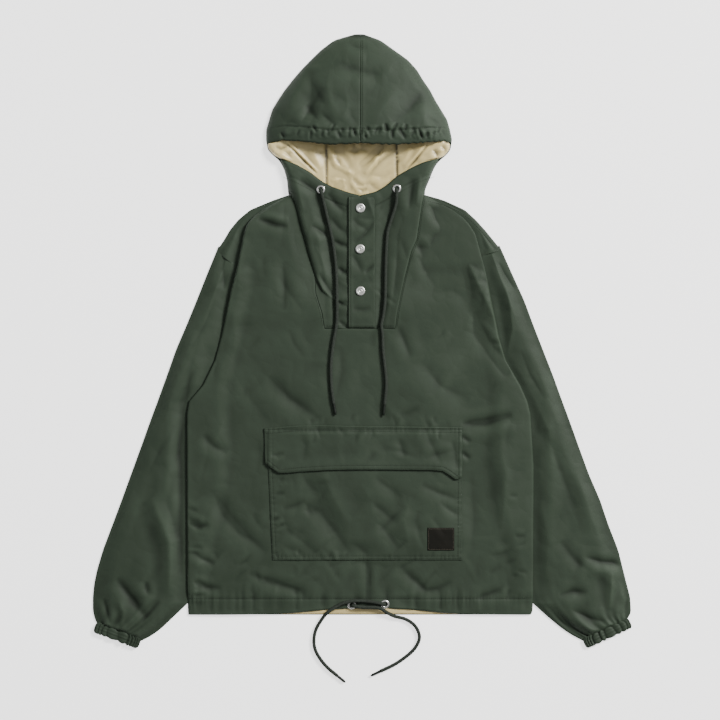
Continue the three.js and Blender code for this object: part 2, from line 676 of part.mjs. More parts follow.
// A turned fitting set down on the named pieces, square to their slope.
function seat(name, profile, x, y, under, reach) {
  const east = heightOver(under, x + reach, y, 1);
  const west = heightOver(under, x - reach, y, 1);
  const north = heightOver(under, x, y + reach, 1);
  const south = heightOver(under, x, y - reach, 1);
  const normal = new THREE.Vector3(
    (west - east) / (2 * reach), (south - north) / (2 * reach), 1).normalize();
  const geometry = new THREE.LatheGeometry(profile.map(([r, z]) => new THREE.Vector2(r, z)), 24);
  geometry.rotateX(Math.PI / 2);
  const turn = new THREE.Quaternion().setFromUnitVectors(new THREE.Vector3(0, 0, 1), normal);
  geometry.applyQuaternion(turn);
  let lift = 0;
  for (let k = 0; k < 24; k += 1) {
    const angle = (k * Math.PI) / 12;
    for (const r of [0.2 * reach, 0.6 * reach, reach]) {
      const dx = r * Math.cos(angle);
      const dy = r * Math.sin(angle);
      const plane = -(normal.x * dx + normal.y * dy) / normal.z;
      lift = Math.max(lift, heightOver(under, x + dx, y + dy, 0.5) - plane);
    }
  }
  geometry.translate(x, y, lift + GAP + 0.1);
  const closed = mergeVertices(stripped(geometry), 1e-3);
  add(name, closed, STEEL, 0.35, 0.9);
}

function stripped(geometry) {
  const plain = geometry.clone();
  plain.deleteAttribute("normal");
  plain.deleteAttribute("uv");
  return plain;
}

const SNAP_PROFILE = [
  [0, 0], [SNAP_RADIUS, 0], [SNAP_RADIUS, 1.2], [SNAP_RADIUS - 0.9, 2.1],
  [SNAP_RADIUS * 0.62, SNAP_HEIGHT], [SNAP_RADIUS * 0.5, SNAP_HEIGHT - 0.6],
  [0, SNAP_HEIGHT - 0.4],
];
const EYELET_MIDDLE = (EYELET_RADIUS + EYELET_HOLE) / 2;
const EYELET_PROFILE = [
  [EYELET_HOLE, 0], [EYELET_RADIUS, 0], [EYELET_RADIUS - 0.3, 0.7],
  [EYELET_MIDDLE, EYELET_HEIGHT], [EYELET_HOLE, 0.8], [EYELET_HOLE, 0],
];
for (const [name, x, y] of SNAPS) seat("snap_" + name, SNAP_PROFILE, x, y, ["placket"], SNAP_RADIUS);
for (const [name, x, y] of EYELETS) {
  const under = name.startsWith("hood") ? ["hood_left", "hood_right"] : ["front_panel"];
  seat("eyelet_" + name, EYELET_PROFILE, x, y, under, EYELET_RADIUS);
}

// Cords lie on what is under them and drop to the floor past the hem.
const UNDER_CORDS = [
  "back_panel", "hem_lining", "front_panel", "hood_left", "hood_right", "placket", "eyelet_hood_left",
  "eyelet_hood_right", "eyelet_hem_left", "eyelet_hem_right",
];

function cordPoints(route) {
  const flat = new THREE.CatmullRomCurve3(route.map(([x, y]) => new THREE.Vector3(x, y, 0)));
  const steps = Math.round(flat.getLength() / 5);
  const points = flat.getSpacedPoints(steps);
  const start = points[0];
  const heights = points.map((p) => {
    const away = p.distanceTo(start);
    const clear = heightOver(UNDER_CORDS, p.x, p.y, 3.4) + CORD_RADIUS + GAP + 0.2;
    return away < 3 ? clear - 0.9 : clear;
  });
  return points.map((p, k) => new THREE.Vector3(p.x, p.y, heights[k]));
}

function tubeAlong(points, radius, steps) {
  const section = new THREE.Shape();
  for (let k = 0; k < 8; k += 1) {
    const turn = ((k + 0.5) * Math.PI) / 4;
    const x = radius * Math.cos(turn);
    const y = radius * Math.sin(turn);
    if (k === 0) section.moveTo(x, y);
    else section.lineTo(x, y);
  }
  section.closePath();
  return new THREE.ExtrudeGeometry(section, {
    steps,
    bevelEnabled: false,
    extrudePath: new THREE.CatmullRomCurve3(points),
  });
}

for (const [name, route] of Object.entries(CORDS)) {
  const points = cordPoints(route);
  const length = new THREE.CatmullRomCurve3(points).getLength();
  add("cord_" + name, stripped(tubeAlong(points, CORD_RADIUS, Math.round(length / 8))), GREEN, 0.8);
  const end = points[points.length - 1];
  const heading = end.clone().sub(points[points.length - 3]).setZ(0).normalize();
  const foot = end.clone().addScaledVector(heading, GAP + 0.1);
  const far = foot.clone().addScaledVector(heading, TIP_LENGTH);
  far.z = Math.max(heightOver(UNDER_CORDS, far.x, far.y, 3) + TIP_RADIUS + GAP + 0.2, TIP_RADIUS + 0.1);
  foot.z = Math.max(foot.z, far.z - 1);
  add("tip_" + name, stripped(tubeAlong([foot, far], TIP_RADIUS, 1)), BROWN, 0.6);
}

// Set the garment's own box, without its cords, on the origin.
const box = new THREE.Box3();
for (const mesh of part.children) {
  if (/^(cord|tip)_/.test(mesh.name)) continue;
  mesh.geometry.computeBoundingBox();
  box.union(mesh.geometry.boundingBox);
}
const middle = box.getCenter(new THREE.Vector3());
for (const mesh of part.children) mesh.geometry.translate(-middle.x, -middle.y, 0);

export default part;
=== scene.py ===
import math

import bpy
import numpy as np
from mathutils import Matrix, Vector
from mathutils.bvhtree import BVHTree


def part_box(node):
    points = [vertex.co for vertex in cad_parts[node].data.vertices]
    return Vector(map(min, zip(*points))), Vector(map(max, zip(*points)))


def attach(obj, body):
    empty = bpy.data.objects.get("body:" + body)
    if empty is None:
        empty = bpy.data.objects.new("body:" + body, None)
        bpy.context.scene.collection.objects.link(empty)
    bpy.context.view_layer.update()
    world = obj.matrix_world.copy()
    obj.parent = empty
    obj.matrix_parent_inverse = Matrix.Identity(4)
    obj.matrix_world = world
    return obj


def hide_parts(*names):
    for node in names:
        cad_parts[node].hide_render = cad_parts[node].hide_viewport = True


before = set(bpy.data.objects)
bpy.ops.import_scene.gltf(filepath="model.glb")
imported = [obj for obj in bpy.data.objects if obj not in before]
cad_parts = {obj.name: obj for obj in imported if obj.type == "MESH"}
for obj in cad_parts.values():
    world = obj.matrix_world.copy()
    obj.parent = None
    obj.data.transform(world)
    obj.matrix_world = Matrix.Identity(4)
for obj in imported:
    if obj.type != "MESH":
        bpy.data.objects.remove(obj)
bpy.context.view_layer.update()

# Tables are in millimetres from the middle of the hem line, as in the part's source.
MM = 0.001
BACK_CORNER = (-285.6, -2.4)  # back_panel's low corner in the tables
BACK_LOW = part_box("back_panel")[0]
SHIFT_X = BACK_LOW[0] / MM - BACK_CORNER[0]
SHIFT_Y = BACK_LOW[1] / MM - BACK_CORNER[1]


def place(x, y, z):
    """Millimetres of the tables to metres of the frame."""
    return ((x + SHIFT_X) * MM, (y + SHIFT_Y) * MM, z * MM)


def added(name, data):
    """A new object in the scene that holds data."""
    item = bpy.data.objects.new(name, data)
    bpy.context.scene.collection.objects.link(item)
    return item


# ---------------------------------------------------------------- camera, light and floor
LENS, SENSOR = 90.0, 36.0
PHOTO_WIDTH = 1.188  # metres across the picture, at the floor
PHOTO_MIDDLE = (0, 417.45)
# Square area lights that face the origin: name, place, side, power, colour.
LIGHTS = [
    ("key", (4.1, 2.9, 4.0), 1.7, 740, (1.0, 0.99, 0.97)),
    ("fill", (-1.8, 0.3, 1.7), 1.6, 7, (0.96, 0.98, 1.0)),
    ("top", (0.1, 0.2, 2.9), 2.4, 8, (1, 1, 1)),
]
WORLD_LIGHT = 0.24
FLOOR_HALF, FLOOR_LEVEL = 6, -0.0006  # metres

camera_data = bpy.data.cameras.new("camera")
camera_data.lens = LENS
camera_data.sensor_width = SENSOR
camera = added("camera", camera_data)
camera.location = place(*PHOTO_MIDDLE, PHOTO_WIDTH * LENS / SENSOR / MM)
bpy.context.scene.camera = camera

for name, location, side, power, colour in LIGHTS:
    data = bpy.data.lights.new(name, "AREA")
    data.size = side
    data.energy = power
    data.color = colour
    lamp = added(name, data)
    lamp.location = location
    lamp.rotation_euler = Vector(location).to_track_quat("Z", "Y").to_euler()

world = bpy.data.worlds.new("studio")
world.use_nodes = True
background = world.node_tree.nodes["Background"]
background.inputs["Color"].default_value = (1, 1, 1, 1)
background.inputs["Strength"].default_value = WORLD_LIGHT
bpy.context.scene.world = world

floor_mesh = bpy.data.meshes.new("floor")
corners = [(-1, -1), (1, -1), (1, 1), (-1, 1)]
floor_mesh.from_pydata(
    [(x * FLOOR_HALF, y * FLOOR_HALF, FLOOR_LEVEL) for x, y in corners], [], [(0, 1, 2, 3)])
floor = added("floor", floor_mesh)


# ---------------------------------------------------------------- number helpers
def step(value, low, high):
    """Smooth change from 0 at low to 1 at high."""
    t = np.clip((value - low) / (high - low), 0, 1)
    return t * t * (3 - 2 * t)


def hill(distance, width):
    return np.exp(-((distance / width) ** 2))


def roll(distance, radius):
    """Height share of a rounded edge, from 0 on it to 1 at radius inside it."""
    t = np.clip(distance / radius, 0, 1)
    return np.sqrt(np.clip(1 - (1 - t) ** 2, 0, 1))


def rolled(low, height, distance, radius):
    """Height that comes down to low round a rounded edge."""
    return low + (height - low) * roll(distance, radius)


def bell(width):
    """Weights for an average over width values."""
    kernel = np.hanning(width + 2)[1:-1]
    return kernel / kernel.sum()


def measured(points):
    """Distance run along a row of points."""
    return np.concatenate([[0], np.cumsum(np.linalg.norm(np.diff(points, axis=0), axis=1))])


def sampled(points, run, at):
    """The columns of points, known at run, taken at other distances."""
    return np.stack([np.interp(at, run, column) for column in np.transpose(points)], 1)


def rounded(points, width=9):
    """A row of points averaged over width of them, its ends left in place."""
    half = width // 2
    padded = np.concatenate([
        2 * points[0] - points[half:0:-1], points, 2 * points[-1] - points[-2:-half - 2:-1]])
    return np.stack([np.convolve(column, bell(width), "valid") for column in padded.T], 1)


def spanned(y, left, right, share):
    """Grid with a row at each y, from the left line to the right one."""
    x = left[:, None] + (right - left)[:, None] * share
    return x, np.repeat(y[:, None], x.shape[1], 1)


def between(table, y, share):
    """Grid with a row at each y, between the two sides of an outline table."""
    return spanned(y, table(y, 1), table(y, 2), share)


class Line:
    """Columns of a table against its first column, slightly rounded at its rows."""

    def __init__(self, rows, blur=11):
        rows = np.array(rows, float)
        self.at = np.arange(rows[0, 0], rows[-1, 0] + 1, 1.0)
        self.columns = []
        for column in rows.T[1:]:
            plain = np.interp(self.at, rows[:, 0], column)
            # The ends run on in their own slope, so that rounding leaves them in place.
            ends = np.arange(1, blur // 2 + 1)
            front = plain[0] - (plain[1] - plain[0]) * ends[::-1]
            back = plain[-1] + (plain[-1] - plain[-2]) * ends
            padded = np.concatenate([front, plain, back])
            self.columns.append(np.convolve(padded, bell(blur), "valid"))

    def __call__(self, value, column=1):
        return np.interp(value, self.at, self.columns[column - 1])


def crease(x, y, points, depth, width, left=0.2, right=0.6, taper=0.6):
    """A trough (negative depth) or ridge along a line, with a gentle shoulder on each side."""
    points = np.array(points, float).reshape(-1, 2)
    out = np.zeros(x.shape)
    reach = 6 * width
    (low_x, low_y), (high_x, high_y) = points.min(0) - reach, points.max(0) + reach
    near = (x > low_x) & (x < high_x) & (y > low_y) & (y < high_y)
    if not near.any():
        return out
    px, py = x[near], y[near]
    run = measured(points)
    best = np.full(px.shape, 1e12)
    side = np.ones(px.shape)
    share = np.zeros(px.shape)
    for k in range(len(points) - 1):
        ax, ay = points[k]
        dx, dy = points[k + 1] - points[k]
        t = np.clip(((px - ax) * dx + (py - ay) * dy) / (dx * dx + dy * dy), 0, 1)
        ex, ey = px - ax - t * dx, py - ay - t * dy
        d2 = ex * ex + ey * ey
        closer = d2 < best
        best = np.where(closer, d2, best)
        side = np.where(closer, np.sign(dx * ey - dy * ex), side)
        share = np.where(closer, (run[k] + t * (run[k + 1] - run[k])) / run[-1], share)
    d = np.sqrt(best) * side
    ends = np.sin(np.pi * np.clip(share, 0.0, 1.0)) ** taper
    shape = np.exp(-np.abs(d / width) ** 1.3)
    shape = shape - left * hill(d - 2.1 * width, 1.5 * width)
    shape = shape - right * hill(d + 2.4 * width, 1.9 * width)
    out[near] = depth * ends * shape
    return out


def creases(x, y, table):
    return sum(crease(x, y, *row) for row in table)


def scatter(x, y, seed, count, box, angle, spread, lengths, depths, widths):
    """Creases at uneven places, in the direction angle plus or minus spread degrees."""
    draw = np.random.RandomState(seed)
    total = np.zeros(x.shape)
    for _ in range(count):
        cx, cy = draw.uniform(box[0], box[2]), draw.uniform(box[1], box[3])
        turn = math.radians(angle + draw.uniform(-spread, spread))
        half = draw.uniform(*lengths) / 2
        bend = draw.uniform(-0.18, 0.18) * half
        ux, uy = math.cos(turn), math.sin(turn)
        points = [
            (cx - ux * half, cy - uy * half),
            (cx - uy * bend, cy + ux * bend),
            (cx + ux * half, cy + uy * half),
        ]
        near, far = draw.permutation([0.1, 0.7])
        total += crease(x, y, points, draw.uniform(*depths), draw.uniform(*widths), near, far)
    return total


def scatters(x, y, table):
    return sum(scatter(x, y, *row) for row in table)


def swell(x, y, seed, size, count=7):
    """Low waves in many directions, from -1 to 1."""
    draw = np.random.RandomState(seed)
    total = np.zeros(x.shape)
    for _ in range(count):
        turn, phase = draw.uniform(0, 2 * math.pi, 2)
        k = 2 * math.pi / (size * draw.uniform(0.7, 1.6))
        total += np.sin(k * (x * math.cos(turn) + y * math.sin(turn)) + phase)
    return total / count


def ruffle(run, pitch, drift, drift_length, swing_length, phase=0.0):
    """Fine gathers of uneven pitch and height along run."""
    return (np.sin(run / pitch + drift * np.sin(run / drift_length))
            * (0.6 + 0.5 * np.sin(run / swing_length + phase)))


# ---------------------------------------------------------------- outline tables
# Each row: y, and x of the left and of the right side. Both outlines share the side seams.
SIDE_SEAMS = [
    (50, -284.6, 285), (243, -285.5, 286), (328, -285.6, 281), (349, -282, 276), (376, -259, 264),
    (417, -239, 240), (457, -228.7, 229), (506, -218.6, 219), (531, -213.5, 214),
]
BODY = Line([
    (0, -283, 277), (12, -284, 284.6), *SIDE_SEAMS, (571, -203, 205.3),
    (589, -227, 201), (599, -235.4, 232.7), (615.5, -224, 219.5), (632, -214.5, 206),
    (648.5, -201, 191), (665, -181.5, 173), (681.5, -142, 137), (690, -116, 106),
], 7)
UNDER = Line([
    (10, -276, 277), (50, -274, 275), (75, -272, 273), (104, -262, 262), (145, -252, 252),
    (186, -243, 243), (228, -237, 237), (269, -233, 233), (310, -236, 236), (352, -237, 237),
    (376, -236, 238), (400, -230, 231), (420, -225, 225), (457, -216, 216), (506, -206, 206),
    (531, -201.5, 202), (571, -194, 196),
])
EDGE = Line([
    (0, -283, 281.5), (4, -283.6, 284.4), (12, -284, 284.9), *SIDE_SEAMS, (571, -203, 205),
    (589, -199.5, 200), (604, -196, 196), (625, -192, 190), (641, -186.5, 180),
    (652, -178, 170), (665, -161, 152), (680, -134, 124), (690, -116, 106),
], 7)
BIB = Line([
    (462, -57.5, 57.5), (469, -58, 58), (495, -62, 61), (528, -72.6, 68), (556, -74, 74),
    (596, -86, 84), (615, -91, 93), (635, -97, 96), (675, -107, 102), (690, -114, 105.6),
    (698, -118.6, 107), (714.5, -120.2, 114), (731, -124.6, 120.5), (747.5, -132, 130.5),
])
HOOD = Line([
    (690, -118, 107), (698, -119, 107.5), (714.5, -120.5, 114.5), (731, -125, 121),
    (740, -129.3, 126), (747.5, -134, 132.5), (755, -143.5, 142), (764, -152, 149),
    (780.5, -155, 152), (797, -155, 148.5), (813.5, -150, 144), (830, -145, 134),
    (846.5, -135, 124), (863, -124, 115.5), (879.5, -111, 104), (896, -97, 94),
    (912.5, -81, 79), (929, -64, 56), (945.5, -42, 33), (955.2, -6, 4),
], 9)
LIP_LEFT = [
    (-133, 748.5), (-105.6, 739), (-82.5, 726), (-61, 709.5), (-43, 701), (-19.8, 693), (0, 687.8),
]
LIP_RIGHT = [
    (131.5, 748.5), (107, 743.5), (84, 733), (61, 720), (45.4, 705.5), (26.4, 694), (0, 687.8),
]
BRIM = Line([
    (-153, 774.7), (-124, 777.8), (-89, 774.7), (-52, 769), (3, 771.2), (49.5, 769),
    (95.7, 772.2), (142, 777.2), (152, 776),
], 19)
CROWN = Line([
    (766, 33), (774, 34.5), (797, 35.5), (830, 34), (863, 30), (896, 24), (912, 20), (929, 15),
    (945, 8.5), (955, 2),
], 15)
CORD_LEFT_ROWS = [
    (327, -42.7), (369, -46.5), (407, -48), (445, -44), (475, -39), (503, -38), (556, -38.8),
    (588, -41.4), (616, -45.7), (644, -52), (670, -58), (697, -64.4),
]
CORD_RIGHT_ROWS = [
    (344, 40.4), (382, 43), (432, 38), (459, 37), (475, 35.3), (494, 38.8), (521, 41.3),
    (574, 42.2), (616, 44), (634, 46.7), (653, 52.8), (674, 59), (698, 60.6),
]
CORD_LEFT, CORD_RIGHT = Line(CORD_LEFT_ROWS), Line(CORD_RIGHT_ROWS)

# Bib heights at y: left seam, left middle, left cord, placket left, placket middle,
# placket right, right cord, right middle, right seam.
BIB_HEIGHTS = Line([
    (462, 4.4, 4.8, 4.3, 4.8, 5.2, 5.2, 4.2, 5.0, 5.6),
    (490, 5.0, 5.4, 4.4, 5.4, 6.0, 6.0, 4.2, 6.6, 7.6),
    (520, 5.6, 7.0, 4.8, 6.2, 6.8, 6.8, 4.4, 8.2, 9.2),
    (542, 8.8, 9.2, 5.4, 6.8, 7.4, 7.2, 4.6, 9.5, 10.4),
    (560, 12.2, 11.4, 6.2, 7.4, 8.0, 7.6, 4.8, 10.5, 11.4),
    (600, 14.8, 13.2, 7.4, 8.8, 9.2, 8.6, 5.4, 11.8, 12.6),
    (640, 16.4, 14.8, 9.4, 10.8, 11.2, 10.4, 7.4, 12.8, 13.4),
    (670, 16.6, 15.8, 11.4, 12.4, 12.8, 12.6, 9.6, 13.4, 13.6),
    (690, 15.0, 15.6, 13.2, 13.8, 14.0, 14.0, 12.0, 13.8, 14.0),
    (750, 14.0, 15.0, 14.5, 14.5, 14.5, 14.5, 14.5, 14.5, 14.5),
], 25)

# Sleeves from shoulder to cuff: x, y of the outer and of the inner edge.
SLEEVE_LEFT = [
    (-233.4, 605, -196.0, 579), (-236.4, 597.2, -198.0, 568),
    (-253, 557, -199, 547), (-269, 516.5, -203, 530),
    (-286, 475, -208, 503), (-303.6, 434, -217, 454), (-318, 393, -223, 430),
    (-333, 351.5, -228, 410), (-344, 322, -237, 374), (-354, 294, -240, 352),
    (-363, 269, -234, 300), (-378, 228, -233, 265), (-393, 186.5, -239, 210),
    (-408.5, 145, -248, 160), (-424, 104, -262, 104), (-434, 70, -273, 76),
    (-438.5, 48, -275, 46), (-440.6, 27, -277, 23), (-440.6, 5, -307, -5.6),
    (-438.8, -4, -331, -28.5), (-436.4, -12, -352, -42.4), (-433.2, -17.6, -362.5, -45.0),
    (-432, -21, -364.5, -47.8),
]
SLEEVE_RIGHT = [
    (230, 606, 197, 595), (233.6, 598.4, 198.6, 585), (252, 557, 199.4, 551),
    (270.6, 516.5, 203.6, 530),
    (286, 475, 209, 503), (302, 434, 218, 454), (318, 393, 224, 430),
    (333, 351.5, 229, 410), (344, 322, 238, 374), (354, 294, 240, 352),
    (363, 269, 234, 300), (378, 228, 233, 265), (396, 186.5, 239, 210),
    (410, 145, 248, 160), (426, 104, 262, 104), (434.5, 70, 273.5, 76),
    (440, 48, 275.5, 46), (445.5, 27, 277.5, 23), (447, 4, 309, -5.6),
    (445.5, -2, 336, -28), (443, -6, 360, -42.5), (440.4, -10.6, 369.6, -45.2),
    (439, -14.4, 371.8, -48),
]

# ---------------------------------------------------------------- fold tables
# Each row: the line's points, depth, width, left and right flank.
FRONT_FOLDS = [
    ((-127, 579, -124, 541, -125, 497), -2.2, 9),
    ((-168, 650, -140, 640, -119, 637), -3.0, 5, 0.6, 0.2),
    ((-152, 391, -116, 355, -63, 318), -2.4, 11), ((-259, 295, -241, 276, -218, 264), -2.0, 7),
    ((-244, 203, -221, 163, -198, 137, -152, 99), -2.6, 10),
    ((-282, 148, -267, 144, -246, 145), -1.8, 5), ((-277, 104, -261, 91, -239, 81), -1.8, 5),
    ((-185, 66, -140, 50, -99, 38, -84, 21), -2.2, 7), ((-274, 51, -254, 43, -228, 41), -1.8, 5),
    ((10, 91, 15, 63, 13, 25), -1.6, 5), ((63, 82, 86, 58, 109, 38, 129, 41, 152, 53), -2.2, 7),
    ((188, 25, 211, 31, 234, 40), -1.8, 6), ((113, 674, 129, 654, 162, 630), -3.6, 7, 0.3, 0.3),
    ((92, 609, 107, 594, 127, 579), -2.4, 6), ((92, 589, 112, 569, 135, 546), -2.2, 7),
    ((155, 615, 178, 578, 201, 528, 233, 462), 2.6, 10),
    ((190, 474, 211, 442, 244, 389), -4.0, 9, 0.5, 0.3),
    ((167, 312, 206, 315, 251, 327), -3.6, 7, 0.3, 0.5),
    ((167, 294, 172, 289, 182, 282), -1.8, 3.5), ((167, 267, 173, 261, 182, 254), -1.8, 3.5),
    ((62, 474, 71, 454, 84, 420), -1.7, 7, 0.3, 0.6), ((-211, 516, -205, 450, -221, 384), 1.6, 16),
    ((231, 285, 241, 219, 231, 120), 1.8, 14), ((182, 236, 188, 153, 182, 87), -1.4, 12),
    ((-241, 467, -254, 434, -271, 398), -1.8, 9), ((-33, 442, -30, 401, -40, 351), -1.4, 10),
    ((99, 417, 132, 376, 182, 351), -1.6, 12), ((-190, 615, -198, 579, -201, 533), 1.5, 10),
]
POCKET_FOLDS = [
    ((-128, 172, -109, 177, -90, 185), -1.8, 6),
    ((-92, 183, -66, 167, -40, 134, -10, 91), -2.4, 11), ((-62, 234, -43, 191, -18, 146), 2.0, 12),
    ((-98, 232, -84, 212, -66, 196), -1.4, 9), ((24, 226, 46, 208, 70, 190), -1.7, 8),
    ((12, 190, 36, 170, 62, 148), -1.5, 8), ((30, 150, 46, 131, 64, 106), -1.5, 7),
    ((2, 214, 18, 186, 22, 160), 1.2, 9), ((100, 213, 130, 199, 162, 188), -2.0, 7),
    ((130, 184, 146, 172, 163, 162), -1.6, 5), ((-120, 139, -86, 112, -66, 92), -1.4, 9),
    ((-128, 112, -108, 104, -88, 92), -1.2, 6), ((82, 192, 72, 153, 82, 110), 1.5, 11),
    ((96, 170, 92, 150, 100, 132), -1.1, 8), ((-20, 118, 0, 108, 18, 92), -1.1, 7),
]
FLAP_FOLDS = [
    ((64, 289, 69, 274, 74, 257), -1.6, 5), ((106, 305, 117, 280, 134, 246), -1.8, 6),
    ((-99, 299, -89, 276, -94, 249), -1.2, 6), ((-33, 302, -36, 277, -30, 243), 1.0, 8),
    ((152, 285, 157, 261, 160, 236), -1.2, 4),
]
SLEEVE_LEFT_FOLDS = [
    ((-221, 596, -226, 566, -223, 533), -2.6, 7),
    ((-342, 191, -330, 158, -314, 116, -312, 71, -315, 28), 3.0, 9),
    ((-304, 236, -317, 186, -300, 120), -2.0, 8),
    ((-401, 59, -388, 41, -373, 21, -351, -8), -3.6, 7), ((-353, 54, -351, 41, -348, 28), -2.2, 4),
    ((-422, 25, -417, 5, -411, -18), -2.2, 4), ((-396, 21, -389, 2, -393, -21), 2.0, 4),
    ((-330, 21, -346, 2, -360, -15), -2.2, 5), ((-256, 351, -289, 285, -310, 236), -2.0, 10),
    ((-271, 467, -297, 401, -322, 335), 2.0, 13), ((-239, 516, -256, 475, -280, 434), -2.0, 9),
    ((-363, 236, -383, 170, -409, 112), 1.6, 13), ((-305, 310, -333, 261, -355, 219), -1.6, 9),
    ((-276, 420, -290, 330, -294, 200, -294, 60), -3.6, 8, 0.3, 0.5),
]
SLEEVE_RIGHT_FOLDS = [
    ((238, 544, 248, 500, 251, 467, 239, 414), 2.6, 8), ((368, 94, 396, 86, 436, 81), -3.4, 6),
    ((328, 30, 350, 37, 374, 34), -2.4, 6), ((348, 7, 376, -7, 409, -15), -2.4, 5),
    ((414, 68, 414, 41, 411, 7), 2.4, 6), ((439, 54, 441, 21, 436, -2), -2.0, 4),
    ((310, 13, 333, -15, 370, -41), -2.4, 6), ((305, 302, 330, 236, 355, 170), -2.0, 11),
    ((280, 368, 310, 302, 317, 236), 2.0, 12), ((264, 434, 280, 393, 305, 351), -2.2, 8),
    ((355, 236, 383, 153, 401, 104), 1.6, 12), ((297, 186, 310, 120, 305, 54), 1.6, 12),
    ((330, 120, 355, 87, 380, 68), -1.8, 7), ((228, 579, 239, 558, 256, 533), -1.8, 5),
]
HOOD_FOLDS = [
    ((-81, 896, -79, 863, -82, 827), -2.6, 15), ((-50, 893, -54, 866, -48, 840, -35, 817), 1.8, 13),
    ((-89, 835, -79, 823, -69, 808), -2.4, 7), ((-66, 822, -54, 812, -40, 799), -2.4, 7),
    ((-20, 900, -14, 876, -22, 850), -1.3, 15), ((20, 900, 26, 870, 14, 846), -1.4, 15),
    ((-99, 800, -112, 807, -125, 804), -1.6, 7), ((117, 846, 125, 827, 135, 804), -2.0, 8),
    ((66, 903, 86, 879, 106, 850), 1.6, 12), ((107, 817, 120, 810, 139, 797), -1.8, 6),
    ((-23, 940, -7, 932, 13, 929), -1.4, 6), ((-100, 799, -84, 826, -62, 862), -2.8, 13),
    ((-44, 908, -6, 893, 36, 884), -2.2, 12), ((52, 806, 82, 830, 108, 866), -2.6, 13),
    ((-124, 818, -114, 852, -92, 888), 1.8, 14), ((24, 800, 38, 830, 62, 862), 1.2, 16),
    ((-30, 806, -20, 832, -26, 866), 1.4, 12),
]
BIB_FOLDS = [
    ((-79, 639, -66, 630, -53, 621), -1.8, 5), ((-68, 561, -56, 541, -43, 519), -1.8, 5),
    ((-53, 692, -40, 674, -24, 660), -1.6, 5), ((-48, 652, -36, 636, -22, 626), -1.2, 5),
    ((-44, 614, -32, 608, -20, 605), -1.8, 4), ((-37, 570, -28, 563, -20, 561), -1.8, 4),
    ((-38, 516, -30, 512, -20, 512), -1.8, 4), ((-35, 482, -28, 476, -20, 471), -1.4, 3.5),
    ((70, 655, 62, 620, 60, 570, 55, 520), -1.6, 8), ((-100, 716, -84, 703, -70, 694), -1.6, 6),
    ((-110, 725, -100, 690, -92, 660), 1.6, 8), ((88, 716, 84, 690, 80, 665), -1.4, 6),
    ((98, 722, 96, 700, 93, 670), 1.4, 6),
]
PLACKET_FOLDS = [
    ((-10, 609, 8, 625, 27, 648), -1.4, 5), ((8, 560, 14, 566, 24, 574), -1.2, 4),
    ((-12, 650, -2, 640, 12, 632), -0.9, 5), ((-14, 592, -4, 578, 4, 560), -0.9, 5),
    ((-12, 502, 4, 500, 18, 503), -0.8, 5), ((10, 690, 16, 672, 24, 650), 0.9, 5),
]
LINING_FOLDS = [
    ((-52, 768, -38, 742, -10, 722), 2.6, 5, 0.3, 0.5),
    ((-43, 752, -32, 738, -19, 729), -2.2, 3.5, 0.2, 0.3),
    ((49, 765, 28, 748, 8, 724), 2.6, 5, 0.5, 0.3), ((38, 770, 22, 754, -2, 738), -1.6, 4),
    ((-12, 716, -4, 708, 6, 704), -1.4, 3), ((-6, 700, 4, 697, 12, 700), -1.2, 2.5),
    ((-20, 762, -2, 765, 16, 762), -1.0, 4), ((20, 730, 34, 722, 48, 724), -1.2, 4),
    ((-48, 712, -34, 716, -22, 712), 1.2, 4),
    ((-124, 777, -94, 747, -71, 724), -1.6, 1.6, 0.9, 0.2),
    ((112, 772, 91, 746, 76, 730), -1.6, 1.6, 0.2, 0.9),
    ((-128, 762, -118, 756, -112, 748), -1.6, 3), ((-140, 768, -130, 764, -120, 768), -1.4, 3),
    ((120, 764, 126, 756, 128, 750), -1.6, 3), ((134, 770, 140, 762, 138, 756), -1.4, 3),
    ((-80, 764, -72, 748, -64, 732), 1.2, 6), ((84, 768, 76, 750, 70, 738), 1.2, 6),
]

# Seeded creases. Each row: seed, count, box, angle, spread, lengths, depths, widths.
FRONT_SCATTER = [
    (11, 90, (-270, 20, 270, 660), 60, 80, (24, 90), (-1.1, 0.7), (3.2, 7)),
    (12, 40, (-275, 26, 275, 110), 70, 60, (14, 44), (-1.1, 0.8), (3, 5)),
    (17, 24, (-225, 470, -190, 640), 30, 50, (14, 40), (-1.0, 0.6), (3, 5)),
    (14, 30, (185, 440, 240, 640), 130, 50, (14, 40), (-1.0, 0.6), (3, 5)),
    # Puckers along the side seams and over the flap's seam.
    (13, 18, (-280, 26, -262, 200), 172, 22, (12, 30), (-1.5, 0.4), (2.4, 3.6)),
    (15, 10, (250, 40, 270, 200), 8, 22, (12, 28), (-1.1, 0.4), (2.4, 3.6)),
    (16, 20, (-150, 308, 165, 320), 88, 25, (12, 26), (-1.1, 0.4), (2.4, 3.6)),
]
POCKET_SCATTER = [
    (71, 26, (-140, 95, 160, 290), 50, 80, (20, 46), (-0.8, 0.5), (3, 6)),
    # Puckers along its sewn edges.
    (73, 20, (-142, 95, -126, 285), 5, 30, (8, 22), (-1.0, 0.4), (2.0, 3.2)),
    (74, 22, (-140, 90, 165, 100), 90, 30, (8, 20), (-0.9, 0.3), (2.0, 3.2)),
]
FLAP_SCATTER = [(82, 20, (-150, 288, 165, 300), 92, 25, (10, 26), (-0.9, 0.3), (2.2, 3.4))]
BIB_SCATTER = [(22, 24, (-110, 480, 100, 700), 120, 60, (18, 46), (-1.0, 0.7), (2.6, 5))]
PLACKET_SCATTER = [(25, 10, (-15, 480, 20, 680), 30, 40, (12, 30), (-0.8, 0.5), (2.4, 4))]
HOOD_SCATTER = [(34, 18, (-120, 800, 115, 930), 100, 60, (24, 70), (-0.9, 0.6), (4, 9))]
